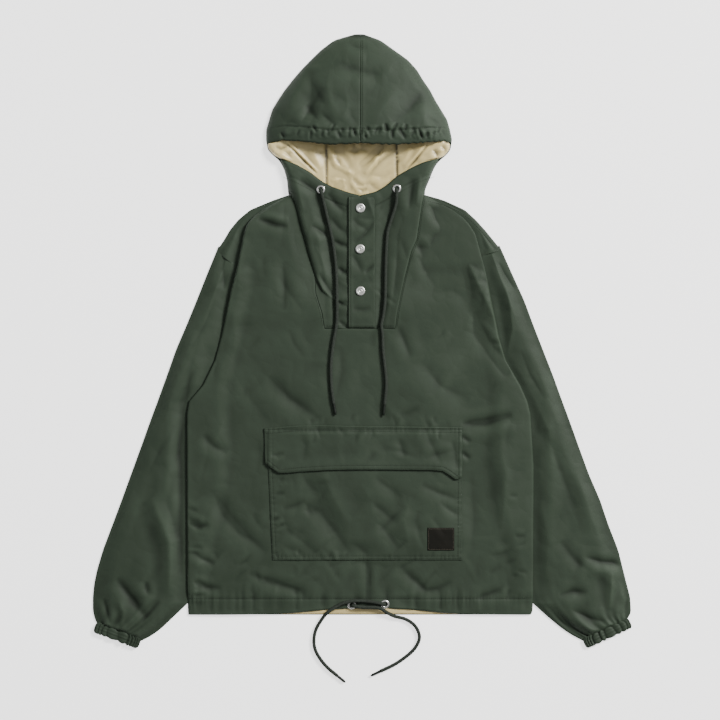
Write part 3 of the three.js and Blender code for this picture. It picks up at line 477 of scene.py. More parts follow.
LINING_SCATTER = [
    (42, 34, (-50, 690, 55, 775), 70, 80, (14, 40), (-1.1, 0.8), (2, 5)),
    (43, 34, (-145, 730, 140, 775), 40, 80, (10, 24), (-1.2, 0.8), (2, 4)),
]
SLEEVE_SCATTER = {1: ((-440, -30, -220, 560), 65), 2: ((220, -30, 440, 560), -65)}  # box, angle

# The left fold of the bib: x, its y, and how high the cloth above it stands up.
LEFT_FOLD = (
    [-200, -80, -74, -61.6, -50, -40.5, -30, -20, -12, 200],
    [580, 574, 556, 531, 521, 516, 511, 507, 470, 400],
    [0, 0, 0.5, 3.0, 4.0, 4.4, 3.2, 1.6, 0, 0],
)
BIB_REST = 4.6  # height of a bib seam that lies flat on the front
CHANNEL = 24  # width of the cord's channel round the mouth
# The sleeves' outer edges where they run under the shoulder caps: y, x.
SLEEVE_TOP = {1: ((557, 597.4), (-253, -236.2)), 2: ((557, 598.6), (252, 233.4))}


# ---------------------------------------------------------------- heights
SIDES = ((1, -1), (2, 1))  # column of the outline tables, sign of x
BIB_FOOT, TOP_ROW = 469, 689.5
HEM_SEAM = 24.7
POCKET_FOOT, POCKET_STITCHES = 87.6, (2.2, 7.0)
FLAP_STITCHES = (2.0, 7.2)
BRIM_STITCH, BRIM_LEVEL = 794.5, 771  # y of the channel's stitches and of the brim
PUCKER_LEVEL = 792
PLACKET_LEFT, PLACKET_RIGHT = -19.4, 24.4
FLOOR_LIFT = 0.85  # of cloth on the floor, with its thickness below
POCKET_TABLE = Line([
    (80, -144.4, 168.3), (88, -144.5, 168.3), (242, -151.5, 169), (320, -152, 169),
])


def within(table, x, y):
    """Distance inside an outline's sides."""
    return np.minimum(x - table(y, 1), table(y, 2) - x)


def body_lift(x, y):
    """How far the sleeves under the body's sides raise it."""
    total = np.zeros(x.shape)
    rows = step(y, 14, 40) * (1 - step(y, 558, 578)) * (3.7 - 1.4 * step(y, 415, 450))
    for side, sign in SIDES:
        edge = np.abs(EDGE(y, side))
        margin = np.clip(edge - np.abs(UNDER(y, side)), 0, 60)
        inset = edge - sign * x
        total += rows * (1 - step(inset, margin, margin + 27))
    return total


def hem_ticks(x, y):
    """Small upright gathers of the drawn hem channel."""
    uneven = 0.6 + 0.5 * np.sin(x / 23.0 + 1.3 * np.sin(x / 61.0))
    return 0.4 * uneven * np.sin(x / 0.95 + 3.0 * np.sin(x / 17.0)) * hill(y - 22, 9)


def edge_level(y):
    """Height of the front panel's folded side edge, above any lift."""
    return 1.7 + 0.7 * step(y, 425, 455) + 2.0 * step(y, 560, 582) - 0.9 * step(y, 632, 668)


def hem_line(x):
    """y of the front panel's hem."""
    return -2.4 + 7.6 * hill(x - 15, 120)


def drawn(seed, places, shift, *ranges):
    """A row for each place: the place with a random shift, then a draw from each range."""
    draw = np.random.RandomState(seed)
    return [(x + draw.uniform(-shift, shift), *[draw.uniform(*span) for span in ranges])
            for x in places]


# Place, height, width and reach of the folds that the hem's cord draws up.
HEM_PUCKERS = drawn(5, range(-270, 275, 13), 4, (-1.5, 1.2), (3, 6), (18, 34))


def hem_gathers(x, y):
    """Folds drawn up by the hem's cord, fading out up the front."""
    total = np.zeros(x.shape)
    low = y < 80
    for at, height, width, reach in HEM_PUCKERS:
        total[low] += height * hill(x[low] - at, width) * (
            step(y[low], -1, 8) * (1 - step(y[low], 24, 24 + reach)))
    return total


def seam_distance(x, y, side):
    """Distance outside the bib's seam on one side, negative on the bib."""
    return (BIB(y, side) - x) if side == 1 else (x - BIB(y, side))


def front_height(x, y):
    inset = within(EDGE, x, y)
    lift = body_lift(x, y)
    above = 3.0 + 2.2 * (1 - np.exp(-np.clip(inset, 0, 400) / 28))
    above += 1.7 * swell(x, y, 3, 140) + 0.6 * swell(x, y, 4, 52)
    above += 1.25 * creases(x, y, FRONT_FOLDS) + scatters(x, y, FRONT_SCATTER)
    above += 2.6 * (1 - step(inset, 4, 42)) * step(y, 425, 455) * (1 - step(y, 640, 668))
    above += hem_gathers(x, y) + hem_ticks(x, y)
    # The bib's right seam stands up in a ridge, and the left one hangs over the front.
    ridge = BIB_HEIGHTS(y, 9) - BIB_REST
    out = np.clip(seam_distance(x, y, 2), 0, 200)
    above += np.where(y > 462, 0.8 * ridge * hill(out, 32) * step(y, 462, 500), 0)
    out = np.clip(seam_distance(x, y, 1), 0, 200)
    above -= step(y, 505, 560) * 3.4 * hill(out, 17)
    above -= 0.9 * hill(y - HEM_SEAM, 1.5)
    above = np.clip(above, 2.6, 24)
    low = edge_level(y) + lift
    top = np.maximum(above + lift, low + 0.8)
    height = rolled(low, top, inset, 4 + 16 * step(y, 636, 670))
    hem = y - hem_line(x)
    return np.where(hem < 4, rolled(1.7, height, hem + 0.01, 2.4), height)


def front_with_bib(x, y):
    """The front drops a little where it runs under the bib."""
    over = np.minimum(-seam_distance(x, y, 1), -seam_distance(x, y, 2))
    over = np.minimum(over, y - BIB_FOOT)
    return front_height(x, y) - np.where(y > 460, 2.2 * step(over, -1.2, 2.5), 0)


def bib_section(x, y):
    """Bib height from the nine control lines, eased from line to line."""
    seam_l, seam_r = BIB(y, 1), BIB(y, 2)
    cord_l, cord_r = CORD_LEFT(y) - 4, CORD_RIGHT(y) - 3.5
    lines = [
        seam_l, (seam_l + cord_l) / 2, cord_l, -19.0, 2.0, 24.0,
        cord_r, (seam_r + cord_r) / 2, seam_r,
    ]
    total = BIB_HEIGHTS(y, 1)
    for k in range(1, len(lines)):
        change = BIB_HEIGHTS(y, k + 1) - BIB_HEIGHTS(y, k)
        total = total + change * step(x, lines[k - 1], lines[k])
    return total


def lip_height(x):
    """y of the mouth's lower lip."""
    left, right = np.transpose(LIP_LEFT), np.transpose(LIP_RIGHT[::-1])
    return np.where(x < 0, np.interp(x, *left), np.interp(x, *right))


def seam_level(y, side):
    """Height of the bib's side edge: halfway up its roll, and near the floor above the neck."""
    share, column = (0.28, 1) if side == 1 else (0.5, 9)
    free = BIB_REST + share * (BIB_HEIGHTS(y, column) - BIB_REST)
    return free + (1.6 - free) * step(y, 684, 706)


def bib_height(x, y):
    height = bib_section(x, y)
    height += 1.6 * creases(x, y, BIB_FOLDS) + 0.4 * swell(x, y, 21, 40)
    height += scatters(x, y, BIB_SCATTER)
    # Below its left fold the bib lies flat on the front.
    fold = np.interp(x, LEFT_FOLD[0], LEFT_FOLD[1])
    rise = np.interp(x, LEFT_FOLD[0], LEFT_FOLD[2])
    low_part = front_height(x, y) + 0.5 + 0.3 * swell(x, y, 23, 30)
    low_part += step(x, -52, -34) * (np.minimum(height, low_part) - low_part)
    high_part = height + rise * np.exp(-np.clip(y - fold, 0, 300) / 22)
    height = low_part + (high_part - low_part) * step(y - fold, -1.2, 2.4)
    # Side edges: rolled above the neck, and on the left already above that fold.
    free = step(y, 684, 704)
    inset_r = -seam_distance(x, y, 2)
    for side, share in ((1, np.maximum(step(y, 536, 556), free)), (2, free)):
        edge = rolled(seam_level(y, side), height, -seam_distance(x, y, side), 11.5)
        height += (edge - height) * share
    height -= 0.5 * hill(inset_r - 0.4, 0.9) * (1 - free)
    # Channel stitching round the mouth, and the lip's own turned edge.
    below = lip_height(x) - y
    height -= 0.7 * hill(below - CHANNEL, 1.6)
    height += 0.5 * hill(below - CHANNEL / 2, 7)
    height -= 1.6 * hill(np.clip(below, 0, 100), 1.6)
    # Seam along the bib's foot.
    height -= 0.8 * hill(y - 471, 2.0)
    return np.clip(height, 0.9, 30)


def placket_height(x, y):
    base = bib_section(x, y) + 0.2
    height = base + 1.8 + 1.9 * creases(x, y, PLACKET_FOLDS) + scatters(x, y, PLACKET_SCATTER)
    from_left = x - PLACKET_LEFT
    height += 1.2 * hill(from_left - 2, 6) - 0.5 * hill(from_left - 3.5, 0.9)
    return rolled(base, height, np.minimum(from_left, PLACKET_RIGHT - x) + 0.02, 1.2)


# Place, slant, depth, width, length and offset of the puckers that the hood's cord draws up.
BRIM_PUCKERS = drawn(
    31, [-126, -104, -82, -73, -62, -54, -45, -36, -27, -19, -9, 1, 9, 17, 26, 33, 41, 50, 57, 66,
         74, 82, 90, 99, 108, 117, 128, 138],
    3, (-34, 34), (1.6, 3.8), (1.6, 3.0), (9, 22), (-8, 5))


def brim(x):
    """The brim's edge, drawn up a little between its puckers."""
    edge = BRIM(x)
    for at, _, depth, width, _, _ in BRIM_PUCKERS:
        edge = edge + 0.45 * depth * hill(x - at, 1.3 * width)
    return edge - 0.8


def crown_height(x, y):
    half = np.where(x < 0, -HOOD(y, 1), HOOD(y, 2))
    inset = np.clip(1 - np.abs(x) / half, 0, 1)
    shape = 1.2 * creases(x, y, HOOD_FOLDS) + 1.0 * swell(x, y, 33, 70)
    shape += scatters(x, y, HOOD_SCATTER)
    # Channel along the brim, drawn up in puckers.
    stitch = y - (BRIM_STITCH + (BRIM(x) - BRIM_LEVEL))
    shape += 0.9 * hill(stitch + 11, 8) - 1.2 * hill(stitch, 1.7)
    for at, slant, depth, width, length, offset in BRIM_PUCKERS:
        turn = math.radians(90 + slant)
        dx, dy = math.cos(turn) * length / 2, math.sin(turn) * length / 2
        middle = PUCKER_LEVEL + offset
        line = [(at - dx, middle - dy), (at, middle), (at + dx, middle + dy)]
        shape += crease(x, y, line, -depth, width, 0.5, 0.5, 0.4)
    # Centre seam.
    shape += 0.3 * hill(x - 4.5, 3.5) - 0.3 * hill(x, 0.9)
    height = CROWN(y) * (1 - (1 - inset) ** 2.3) ** 0.5
    height += shape * step(inset, 0.02, 0.25) * np.clip(CROWN(y) / 14, 0, 1)
    height -= 1.6 * hill(np.clip(y - brim(x), 0, 100), 1.5)
    return np.clip(height, 0.4, 45)


def lining_height(x, y):
    """The lining in the mouth: a middle panel below two side panels."""
    height = 4.2 + 3.0 * step(np.abs(x - 2.5), 55.5, 59.0) + 0.8 * swell(x, y, 41, 50)
    height += 7.0 * step(np.abs(x), 62, 140)
    height += 1.9 * creases(x, y, LINING_FOLDS) + scatters(x, y, LINING_SCATTER)
    height = np.clip(height, 3.6, 20)
    for at, sign in ((-55.3, -1), (60.4, 1)):
        away = sign * (x - at)
        height -= np.where(away > 0, 2.4 * np.exp(-np.clip(away, 0, 300) / 10), 0)
        height -= 3.0 * hill(away, 1.8)
    inset = np.where((y > 747) & (y < 778), within(HOOD, x, y), 100)
    height = rolled(1.2, np.clip(height, 1.5, 20), inset + 0.02, 9)
    # It stays under the lip and within the hood.
    under = (bib_section(x, y) - 3.0) * roll(np.clip(HOOD(y, 2) - np.abs(x), 0, 99), 20)
    below = lip_height(x) - y
    height = np.minimum(height, np.where(below > -2, np.clip(under, 1.6, 30), 40))
    inside = np.clip(crown_height(x, np.maximum(y, 779)) - 2.6, 0.8, 40)
    return np.where(y > 773, np.minimum(height, inside), height)


def cap_height(x, y, side, sign):
    """Shoulder cap between the front's edge and the body's outline."""
    outer = np.where(y > 598, np.abs(BODY(y, side)), np.abs(np.interp(y, *SLEEVE_TOP[side])))
    inset = outer - sign * x
    free = np.minimum(inset, sign * x - np.abs(EDGE(y, side)))
    height = 2.3 + 5.4 * (1 - step(y, 648, 672)) * step(free, -2, 30)
    height += (0.7 * swell(x, y, 91, 40) - 0.6 * hill(free - 9, 3)) * step(free, 2, 12)
    return rolled(0.9, height, inset + 0.02, 3.4)


def hollows(x, y, seed, count, box, angle, spread, inset, margin):
    """Creases of cloth that lies on the floor: hollows in its underside, none near its edges."""
    shape = scatter(x, y, seed, count, box, angle, spread, (40, 150), (0.5, 1.5), (4, 10))
    return np.clip(shape, 0, 1.3) * step(inset, margin, margin + 22)


def back_height(x, y):
    inset = np.minimum(within(BODY, x, y), np.minimum(y + 2, 689 - y))
    # Yoke seam, hem channel with its gathers, and centre pleat.
    sewn = 0.55 * hill(y - 560 - 6 * hill(x, 120), 1.6) + 0.5 * hill(y - HEM_SEAM, 1.6)
    sewn += 0.6 * hill(x - 3, 1.8) * step(y, 30, 40) * (1 - step(y, 556, 562))
    sewn += 0.35 * np.clip(np.sin(x / 2.3 + 2.2 * np.sin(x / 19.0)), 0, 1) * hill(y - 16, 7)
    return (FLOOR_LIFT + body_lift(x, y) + sewn * step(inset, 3, 10)
            + hollows(x, y, 101, 70, (-260, 40, 260, 660), 75, 70, inset, 14))


def sleeve_height(x, y, u, run, total, width, side, folds, seed):
    """A sleeve's upper wall: low where the body covers it, domed beyond."""
    inset = np.minimum(u, 1 - u) * width
    free = np.minimum(u * width, np.abs(x) - np.abs(EDGE(y, side)))
    free = np.where(y < 16, np.minimum(free, (1 - u) * width), free)
    shape = 1.1 * creases(x, y, folds)
    shape += 1.0 * swell(x, y, seed, 80) + 0.4 * swell(x, y, seed + 3, 34)
    box, lean = SLEEVE_SCATTER[side]
    shape += scatter(x, y, seed + 1, 44, box, lean, 40, (30, 90), (-1.0, 0.6), (3.5, 7))
    # Gathers that run out of the cuff.
    to_cuff = np.clip(total - run, 0, 400)
    near = np.exp(-to_cuff / 30)
    fan = u + 0.03 * np.sin(run / 17.0 + seed)
    pleat = np.sin(2 * math.pi * (8.5 * fan + 0.4 * np.sin(9 * fan + seed)))
    coarse = np.sin(2 * math.pi * (3.4 * fan + 0.25) + seed)
    shape += 1.1 * powered(pleat, 0.8) * near + 2.2 * coarse * np.exp(-to_cuff / 50)
    dome = 2.3 + 6.0 * step(free, -2, 34) + 2.6 * near * step(free, 2, 18)
    height = np.clip(dome + shape * step(free, 0, 14), 2.2, 17)
    height = rolled(1.5, height, inset + 0.001, 3.2)
    # The ends go under the cap and into the cuff.
    height = np.minimum(height, 2.0 + 30 * np.clip(run - 7, 0, 100) / 9)
    return np.minimum(height, 5.6 + 0.9 * np.clip(total - run - 5, 0, 100))


def pocket_height(x, y):
    side = within(POCKET_TABLE, x, y)
    inset = np.minimum(side, y - POCKET_FOOT)
    under = front_height(x, y)
    height = under + 1.6 + 1.5 * step(inset, 6, 40)
    height += creases(x, y, POCKET_FOLDS) + 0.9 * swell(x, y, 72, 60)
    height += scatters(x, y, POCKET_SCATTER)
    for line in POCKET_STITCHES:
        height -= 0.35 * hill(inset - line, 0.9)
    run = np.where(side < y - POCKET_FOOT, y, x)
    height += 0.34 * ruffle(run, 1.25, 2.4, 11.0, 7.3, 1) * hill(inset - 5, 5.5)
    low = under + 0.3
    return np.maximum(low, rolled(low, height, inset + 0.05, 1.5))


def flap_height(x, y, u, v):
    """u and v are the distances from the flap's side and foot."""
    under = pocket_height(x, np.minimum(y, 297.5))
    under = under + (front_height(x, y) + 1.2 - under) * step(y, 296, 302)
    inset = np.minimum(u, v)
    height = under + 2.0 + 2.0 * (1 - step(v, 4, 30))
    height += 0.8 * creases(x, y, FLAP_FOLDS) + 0.35 * swell(x, y, 81, 50)
    height += scatters(x, y, FLAP_SCATTER)
    for line in FLAP_STITCHES:
        height -= 0.3 * hill(inset - line, 0.9)
    height -= 0.6 * hill(y - 303.0, 1.2) + 0.3 * hill(y - 298.0, 0.9)
    pucker = ruffle(x, 1.3, 2.4, 13.0, 8.1)
    return height + 0.3 * pucker * (0.5 * hill(v - 5, 5) + hill(y - 302, 4.5))


# ---------------------------------------------------------------- materials
class Material:
    """A material's node tree, with short ways to add nodes and join them."""

    def __init__(self, name, **surface):
        self.data = bpy.data.materials.new(name)
        self.data.use_nodes = True
        self.tree = self.data.node_tree
        self.surface = self.tree.nodes["Principled BSDF"]
        self.join(self.surface, {key.replace("_", " "): value for key, value in surface.items()})
        self.where = self.add("TexCoord", {}, "Object")

    def join(self, node, inputs):
        """Each input takes a value, or the output of another node."""
        for key, value in inputs.items():
            if isinstance(value, bpy.types.NodeSocket):
                self.tree.links.new(value, node.inputs[key])
            else:
                node.inputs[key].default_value = value

    def add(self, kind, inputs, output=0, **settings):
        node = self.tree.nodes.new("ShaderNode" + kind)
        for key, value in settings.items():
            setattr(node, key, value)
        self.join(node, inputs)
        return node.outputs[output]

    def noise(self, scale, detail=3.0, where=None):
        inputs = {"Vector": where or self.where, "Scale": scale, "Detail": detail}
        return self.add("TexNoise", inputs, "Fac")

    def mapped(self, angle=0.0, stretch=(1, 1, 1)):
        inputs = {"Vector": self.where, "Rotation": (0, 0, math.radians(angle)), "Scale": stretch}
        return self.add("Mapping", inputs, "Vector")

    def ramp(self, factor, *stops):
        """Colours, or shares of white, at places along the factor."""
        colours = self.add("ValToRGB", {"Fac": factor}, "Color")
        elements = colours.node.color_ramp.elements
        elements[0].position, elements[1].position = stops[0][0], stops[-1][0]
        for at, _ in stops[1:-1]:
            elements.new(at)
        for element, (_, colour) in zip(elements, stops):
            element.color = (*(colour if isinstance(colour, tuple) else [colour] * 3), 1)
        return colours

    def bumps(self, *layers):
        """Chained bump nodes: each layer is a height, a strength and a distance in metres."""
        chained = {}
        for height, strength, distance in layers:
            inputs = {"Height": height, "Strength": strength, "Distance": distance, **chained}
            chained = {"Normal": self.add("Bump", inputs, "Normal")}
        self.join(self.surface, chained)

    def crumpled(self, scale):
        """Soft facets with crisp valleys between them, as in creased nylon."""
        centred = self.add("Math", {0: self.noise(scale, 1.0), 1: 0.5}, operation="SUBTRACT")
        return self.add("Math", {0: centred}, operation="ABSOLUTE")

    def painted_fold_shade(self, colour, deep, proud):
        """Painted shade in the hollows and painted highlight on the ridges: hollows darker and
        ridges a little lighter, from the height kept in the mesh.
        """
        height = self.add("Attribute", {}, "Fac", attribute_name="hollow")
        share = self.add("Math", {0: height, 1: 0.25, 2: 0.5}, operation="MULTIPLY_ADD")
        tone = self.ramp(share, (0.0, deep), (0.5, 1), (1.0, proud))
        return self.add("Mix", {"Factor": 1.0, 6: colour, 7: tone}, 2,
                        data_type="RGBA", blend_type="MULTIPLY")


TWILL_ANGLE = 38  # degrees


def cloth_material(name, colours, roughness, sheen, twill=420.0, crumple=0.0007, gloss=0.15,
                   shade=(0.42, 1.22)):
    """Twill cloth: colours from dark to light, and the painted shade of its hollows and painted
    highlight of its ridges.
    """
    dark, middle, light = colours
    tint = [min(1, c * 6 + 0.2) for c in light]
    cloth = Material(name, Roughness=roughness, Sheen_Weight=sheen, Sheen_Roughness=0.35,
                     Specular_IOR_Level=gloss, Sheen_Tint=(*tint, 1))
    colour = cloth.ramp(cloth.noise(9.0, 4.0), (0.3, dark), (0.55, middle), (0.75, light))
    # Base colour with painted shade in the hollows and painted highlight on the ridges.
    cloth.join(cloth.surface, {"Base Color": cloth.painted_fold_shade(colour, *shade)})
    diagonal = cloth.add("TexWave", {"Vector": cloth.mapped(TWILL_ANGLE), "Scale": twill}, "Fac")
    grain = cloth.noise(1400.0, 2.0, cloth.mapped(TWILL_ANGLE, (1, 5, 1)))
    cloth.bumps(
        (cloth.crumpled(15.0), 0.6, 6 * crumple), (cloth.crumpled(38.0), 0.5, 3 * crumple),
        (cloth.noise(60.0), 0.4, crumple), (diagonal, 0.25, 0.00006), (grain, 0.2, 0.00005))
    return cloth.data


def noisy_material(name, dark, light, noise, bump, **surface):
    """One fine noise drives colour and bump.

    noise is scale, detail, from and to; bump is strength and distance.
    """
    item = Material(name, **surface)
    scale, detail, low, high = noise
    fine = item.noise(scale, detail)
    item.join(item.surface, {"Base Color": item.ramp(fine, (low, dark), (high, light))})
    item.bumps((fine, *bump))
    return item.data


def metal_material(name, colour, roughness):
    return noisy_material(name, tuple(c * 0.8 for c in colour), colour, (260.0, 4.0, 0.3, 0.7),
                          (0.15, 0.00008), Roughness=roughness, Metallic=0.9)


def floor_material():
    paper = Material("paper_floor", Roughness=0.9, Emission_Strength=1.5)
    # The floor glows round the object as a painted pool of light, fading away from it.
    glow = paper.add("TexGradient", {"Vector": paper.mapped(stretch=(0.55, 0.55, 0.55))}, "Fac",
                     gradient_type="SPHERICAL")
    paper.join(paper.surface, {
        "Base Color": paper.ramp(paper.noise(1.5), (0.3, 0.93), (0.7, 0.95)),
        "Emission Color": paper.ramp(glow, (0.05, 0), (0.45, 1)),
    })
    return paper.data


GREENS = ((0.0275, 0.0395, 0.0262), (0.032, 0.0455, 0.0305), (0.037, 0.052, 0.0352))
SHELL = cloth_material("nylon_twill", GREENS, 0.60, 0.03)
CUFF = cloth_material(
    "gathered_nylon", [tuple(c * 0.92 for c in green) for green in GREENS], 0.58, 0.03)
LINING = cloth_material(
    "satin_lining", ((0.54, 0.43, 0.19), (0.61, 0.50, 0.235), (0.68, 0.57, 0.30)),
    0.36, 0.05, 600.0, 0.0006, 0.5, (0.22, 1.3))
LABEL = cloth_material(
    "woven_label", ((0.006, 0.006, 0.0045), (0.009, 0.009, 0.007), (0.014, 0.013, 0.010)),
    0.8, 0.0, 700.0, gloss=0.12)
THREAD = cloth_material(
    "thread", ((0.019, 0.027, 0.018), (0.023, 0.032, 0.022), (0.028, 0.039, 0.027)),
    0.7, 0.0, 900.0)
LABEL_THREAD = cloth_material(
    "label_thread", ((0.10, 0.088, 0.065), (0.12, 0.105, 0.078), (0.14, 0.122, 0.092)),
    0.6, 0.1, 900.0)
TIP = cloth_material(
    "bound_tip", ((0.010, 0.013, 0.010), (0.014, 0.018, 0.014), (0.02, 0.025, 0.02)), 0.45, 0.0)
CORD = noisy_material(
    "braided_cord", (0.022, 0.027, 0.022), (0.044, 0.051, 0.043), (900.0, 2.0, 0.35, 0.65),
    (0.4, 0.0002), Roughness=0.9, Specular_IOR_Level=0.0)
SNAP = metal_material("snap_metal", (0.80, 0.80, 0.77), 0.38)
EYELET = metal_material("eyelet_metal", (0.72, 0.72, 0.70), 0.26)
floor.data.materials.append(floor_material())


# ---------------------------------------------------------------- mesh building
def grid_faces(rows, columns, start, keep=None, wrap=False, flip=False):
    """Quads of a grid whose first point has the number start."""
    across = columns if wrap else columns - 1
    i, j = np.meshgrid(np.arange(rows - 1), np.arange(across), indexing="ij")
    if keep is not None:
        i, j = i[keep], j[keep]
    i, j = i.ravel() * columns, j.ravel()
    n = (j + 1) % columns
    quads = np.stack([i + j, i + n, i + columns + n, i + columns + j], 1)
    return start + (quads[:, ::-1] if flip else quads)


def softened(z, reach, wrap):
    """A grid of heights averaged over reach steps each way."""
    window = 2 * reach + 1
    for mode in ("edge", "wrap" if wrap else "edge"):
        padded = np.pad(z, ((reach, reach), (0, 0)), mode=mode)
        total = np.cumsum(np.pad(padded, ((1, 0), (0, 0))), 0)
        z = ((total[window:] - total[:-window]) / window).T
    return z


def sheet(x, y, z, reach=0, **faces):
    """A grid in millimetres, the reach of the painted shade of its hollows and options for its
    faces.
    """
    return x, y, z, reach, faces


def build(name, sheets, material, thickness=0):
    """One piece of all its sheets, riding on the part's only body."""
    points, faces, depths = [], [], []
    start = 0
    for x, y, z, reach, options in sheets:
        wrap = options.get("wrap", False)
        soft = softened(softened(z, reach, wrap), reach, wrap) if reach else z
        depths.append((z - soft).ravel())
        points.append(np.stack(place(x.ravel(), y.ravel(), z.ravel()), 1))
        faces.append(grid_faces(*x.shape, start, **options))
        start += x.size
    used, faces = np.unique(np.concatenate(faces), return_inverse=True)
    faces = faces.ravel()
    points, depths = np.concatenate(points)[used], np.concatenate(depths)[used]
    mesh = bpy.data.meshes.new(name)
    mesh.vertices.add(len(points))
    mesh.vertices.foreach_set("co", points.astype(np.float32).ravel())
    mesh.loops.add(len(faces))
    mesh.loops.foreach_set("vertex_index", faces.astype(np.int32))
    mesh.polygons.add(len(faces) // 4)
    mesh.polygons.foreach_set("loop_start", np.arange(0, len(faces), 4, dtype=np.int32))
    mesh.polygons.foreach_set("use_smooth", np.ones(len(faces) // 4, bool))
    mesh.materials.append(material)
    mesh.update(calc_edges=True)
    # Height above the softened grid, kept for the painted shade in hollows and painted highlight on
    # ridges.
    if depths.any():
        kept = mesh.attributes.new("hollow", "FLOAT", "POINT")
        kept.data.foreach_set("value", depths.astype(np.float32))
    mesh.validate()
    piece = added(name, mesh)
    if thickness:
        solid = piece.modifiers.new("cloth", "SOLIDIFY")
        solid.thickness = thickness
        solid.offset = -1.0
    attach(piece, "root")
    return piece


def edge_lanes(count, crowd=1.6):
    """Shares from 0 to 1, closer together near both ends."""
    t = np.linspace(-1, 1, count)
    return 0.5 + 0.5 * np.sign(t) * (1 - (1 - np.abs(t)) ** crowd)


def powered(wave, power):
    """A wave with steeper or flatter sides."""
    return np.sign(wave) * np.abs(wave) ** power


def for_node(piece, node, slot):
    """The piece, in the place of a CAD node, which it hides; slot is not used."""
    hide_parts(node)
    return piece


CLOTHS = {  # material and thickness in metres by slot
    "shell": (SHELL, 0.0007), "cuff": (CUFF, 0.0006), "lining": (LINING, 0.0005),
    "label": (LABEL, 0.0005),
}


def cloth(name, node, slot, sheets, flat, area=None, rests_on=(), thick=True):
    """A piece of cloth in the place of its node, in its slot's material and thickness; flat and
    area, the cut of what shows, are not used.
    """
    material, thickness = CLOTHS[slot]
    piece = for_node(build(name, sheets, material, thickness if thick else 0), node, slot)
    list(rests_on)
    return piece


# ---------------------------------------------------------------- body
# Front panel: three groups of columns, the middle one cut out for the bib, and the side
# edges turned under. The shoulder caps are sheets of their own below those edges.
HEM_TURN = [(9, -0.9), (1.2, -0.9), (0.3, -0.6)]  # inward, down
EDGE_TURN = [(7.0, -1.2), (2.0, -1.2), (1.0, -1.1), (0.25, -0.65)]
SIDE_LANES, MIDDLE_LANES = 82, 56
front_y = np.concatenate([[0, 0.8, 1.8, 3], np.arange(5.2, TOP_ROW, 2.35), [TOP_ROW]])
left_edge, right_edge = EDGE(front_y, 1), EDGE(front_y, 2)
on_bib = front_y > BIB_FOOT
# Below the bib the middle columns narrow from the hem up.
gap = 110 - 52 * step(front_y, 0, BIB_FOOT)
bib_l = np.maximum(np.where(on_bib, BIB(front_y, 1), -gap), left_edge + 1.5)
bib_r = np.minimum(np.where(on_bib, BIB(front_y, 2), gap), right_edge - 1.5)
side_share = np.linspace(0, 1, SIDE_LANES) ** 1.12
middle_share = edge_lanes(MIDDLE_LANES, 1.25)[1:-1]
front_x = np.concatenate([
    spanned(front_y, left_edge, bib_l, side_share)[0],
    spanned(front_y, bib_l, bib_r, middle_share)[0],
    spanned(front_y, right_edge, bib_r, side_share[::-1])[0],
], 1)
front_yy = np.repeat(front_y[:, None], front_x.shape[1], 1)
front_grid = [front_x, front_yy, front_with_bib(front_x, front_yy)]


def turned_under(grid, turn):
    """The grid with extra rows at its start, which take that edge round and under itself."""
    x, y, z = grid
    return [np.concatenate([np.stack(extra), v]) for extra, v in (
        ([x[0] + inward for inward, _ in turn], x),
        ([y[0]] * len(turn), y),
        ([z[0] + down for _, down in turn], z))]


for sign in (1, -1):
    turn = [(sign * inward, down) for inward, down in EDGE_TURN]
    front_grid = [v.T[::sign] for v in front_grid]
    front_grid = [v[::sign].T for v in turned_under(front_grid, turn)]
front_grid[1] = front_grid[1] + hem_line(front_grid[0]) * (1 - step(front_grid[1], 0, 14))
y, x, z = turned_under([front_grid[1], front_grid[0], front_grid[2]], HEM_TURN)
keep = np.ones((x.shape[0] - 1, x.shape[1] - 1), bool)
cut_rows = np.flatnonzero(front_y[:-1] > 477) + len(HEM_TURN)
first = len(EDGE_TURN) + SIDE_LANES
keep[np.ix_(cut_rows, np.arange(first + 2, first + MIDDLE_LANES - 5))] = False
front_sheets = [sheet(x, y, z, 4, keep=keep)]

cap_y = np.concatenate([[571.4, 572.4], np.arange(574, 690, 2.6)])
for side, sign in SIDES:
    edge, outer = EDGE(cap_y, side), BODY(cap_y, side)
    outer = np.where(np.abs(outer) > np.abs(edge) + 0.4, outer, edge + sign * 0.4)
    x, y = spanned(cap_y, edge - sign * 9, outer, edge_lanes(26, 1.5))
    front_sheets.append(sheet(x, y, cap_height(x, y, side, sign), 2, flip=side == 1))
front = cloth("smock_front", "front_panel", "shell", front_sheets, (0.58, 0.70), 0.35,
              ["back_panel"], thick=False)

# Back panel, under the front, and level with the floor in its middle.
back_y = np.concatenate([[-2.4, -1.4], np.arange(0, TOP_ROW, 3.6), [TOP_ROW]])
x, y = between(BODY, back_y, edge_lanes(132, 1.5))
back = cloth("smock_back", "back_panel", "shell", [sheet(x, y, back_height(x, y))],
             (0.57, 0.692), 0.365)

# Facing inside the back hem.
y, x = np.meshgrid([-1.2, -0.7, 0.5, 3, 7, 11, 16, 20], np.linspace(-150, 175, 90), indexing="ij")
z = 2.1 + 0.25 * np.sin(x / 7.0 + 2 * np.sin(x / 31.0)) - 0.5 * hill(y + 1.2, 0.9)
facing = cloth("hem_facing", "hem_lining", "lining", [sheet(x, y, z)], (0.325, 0.0212),
               rests_on=["back_panel"])


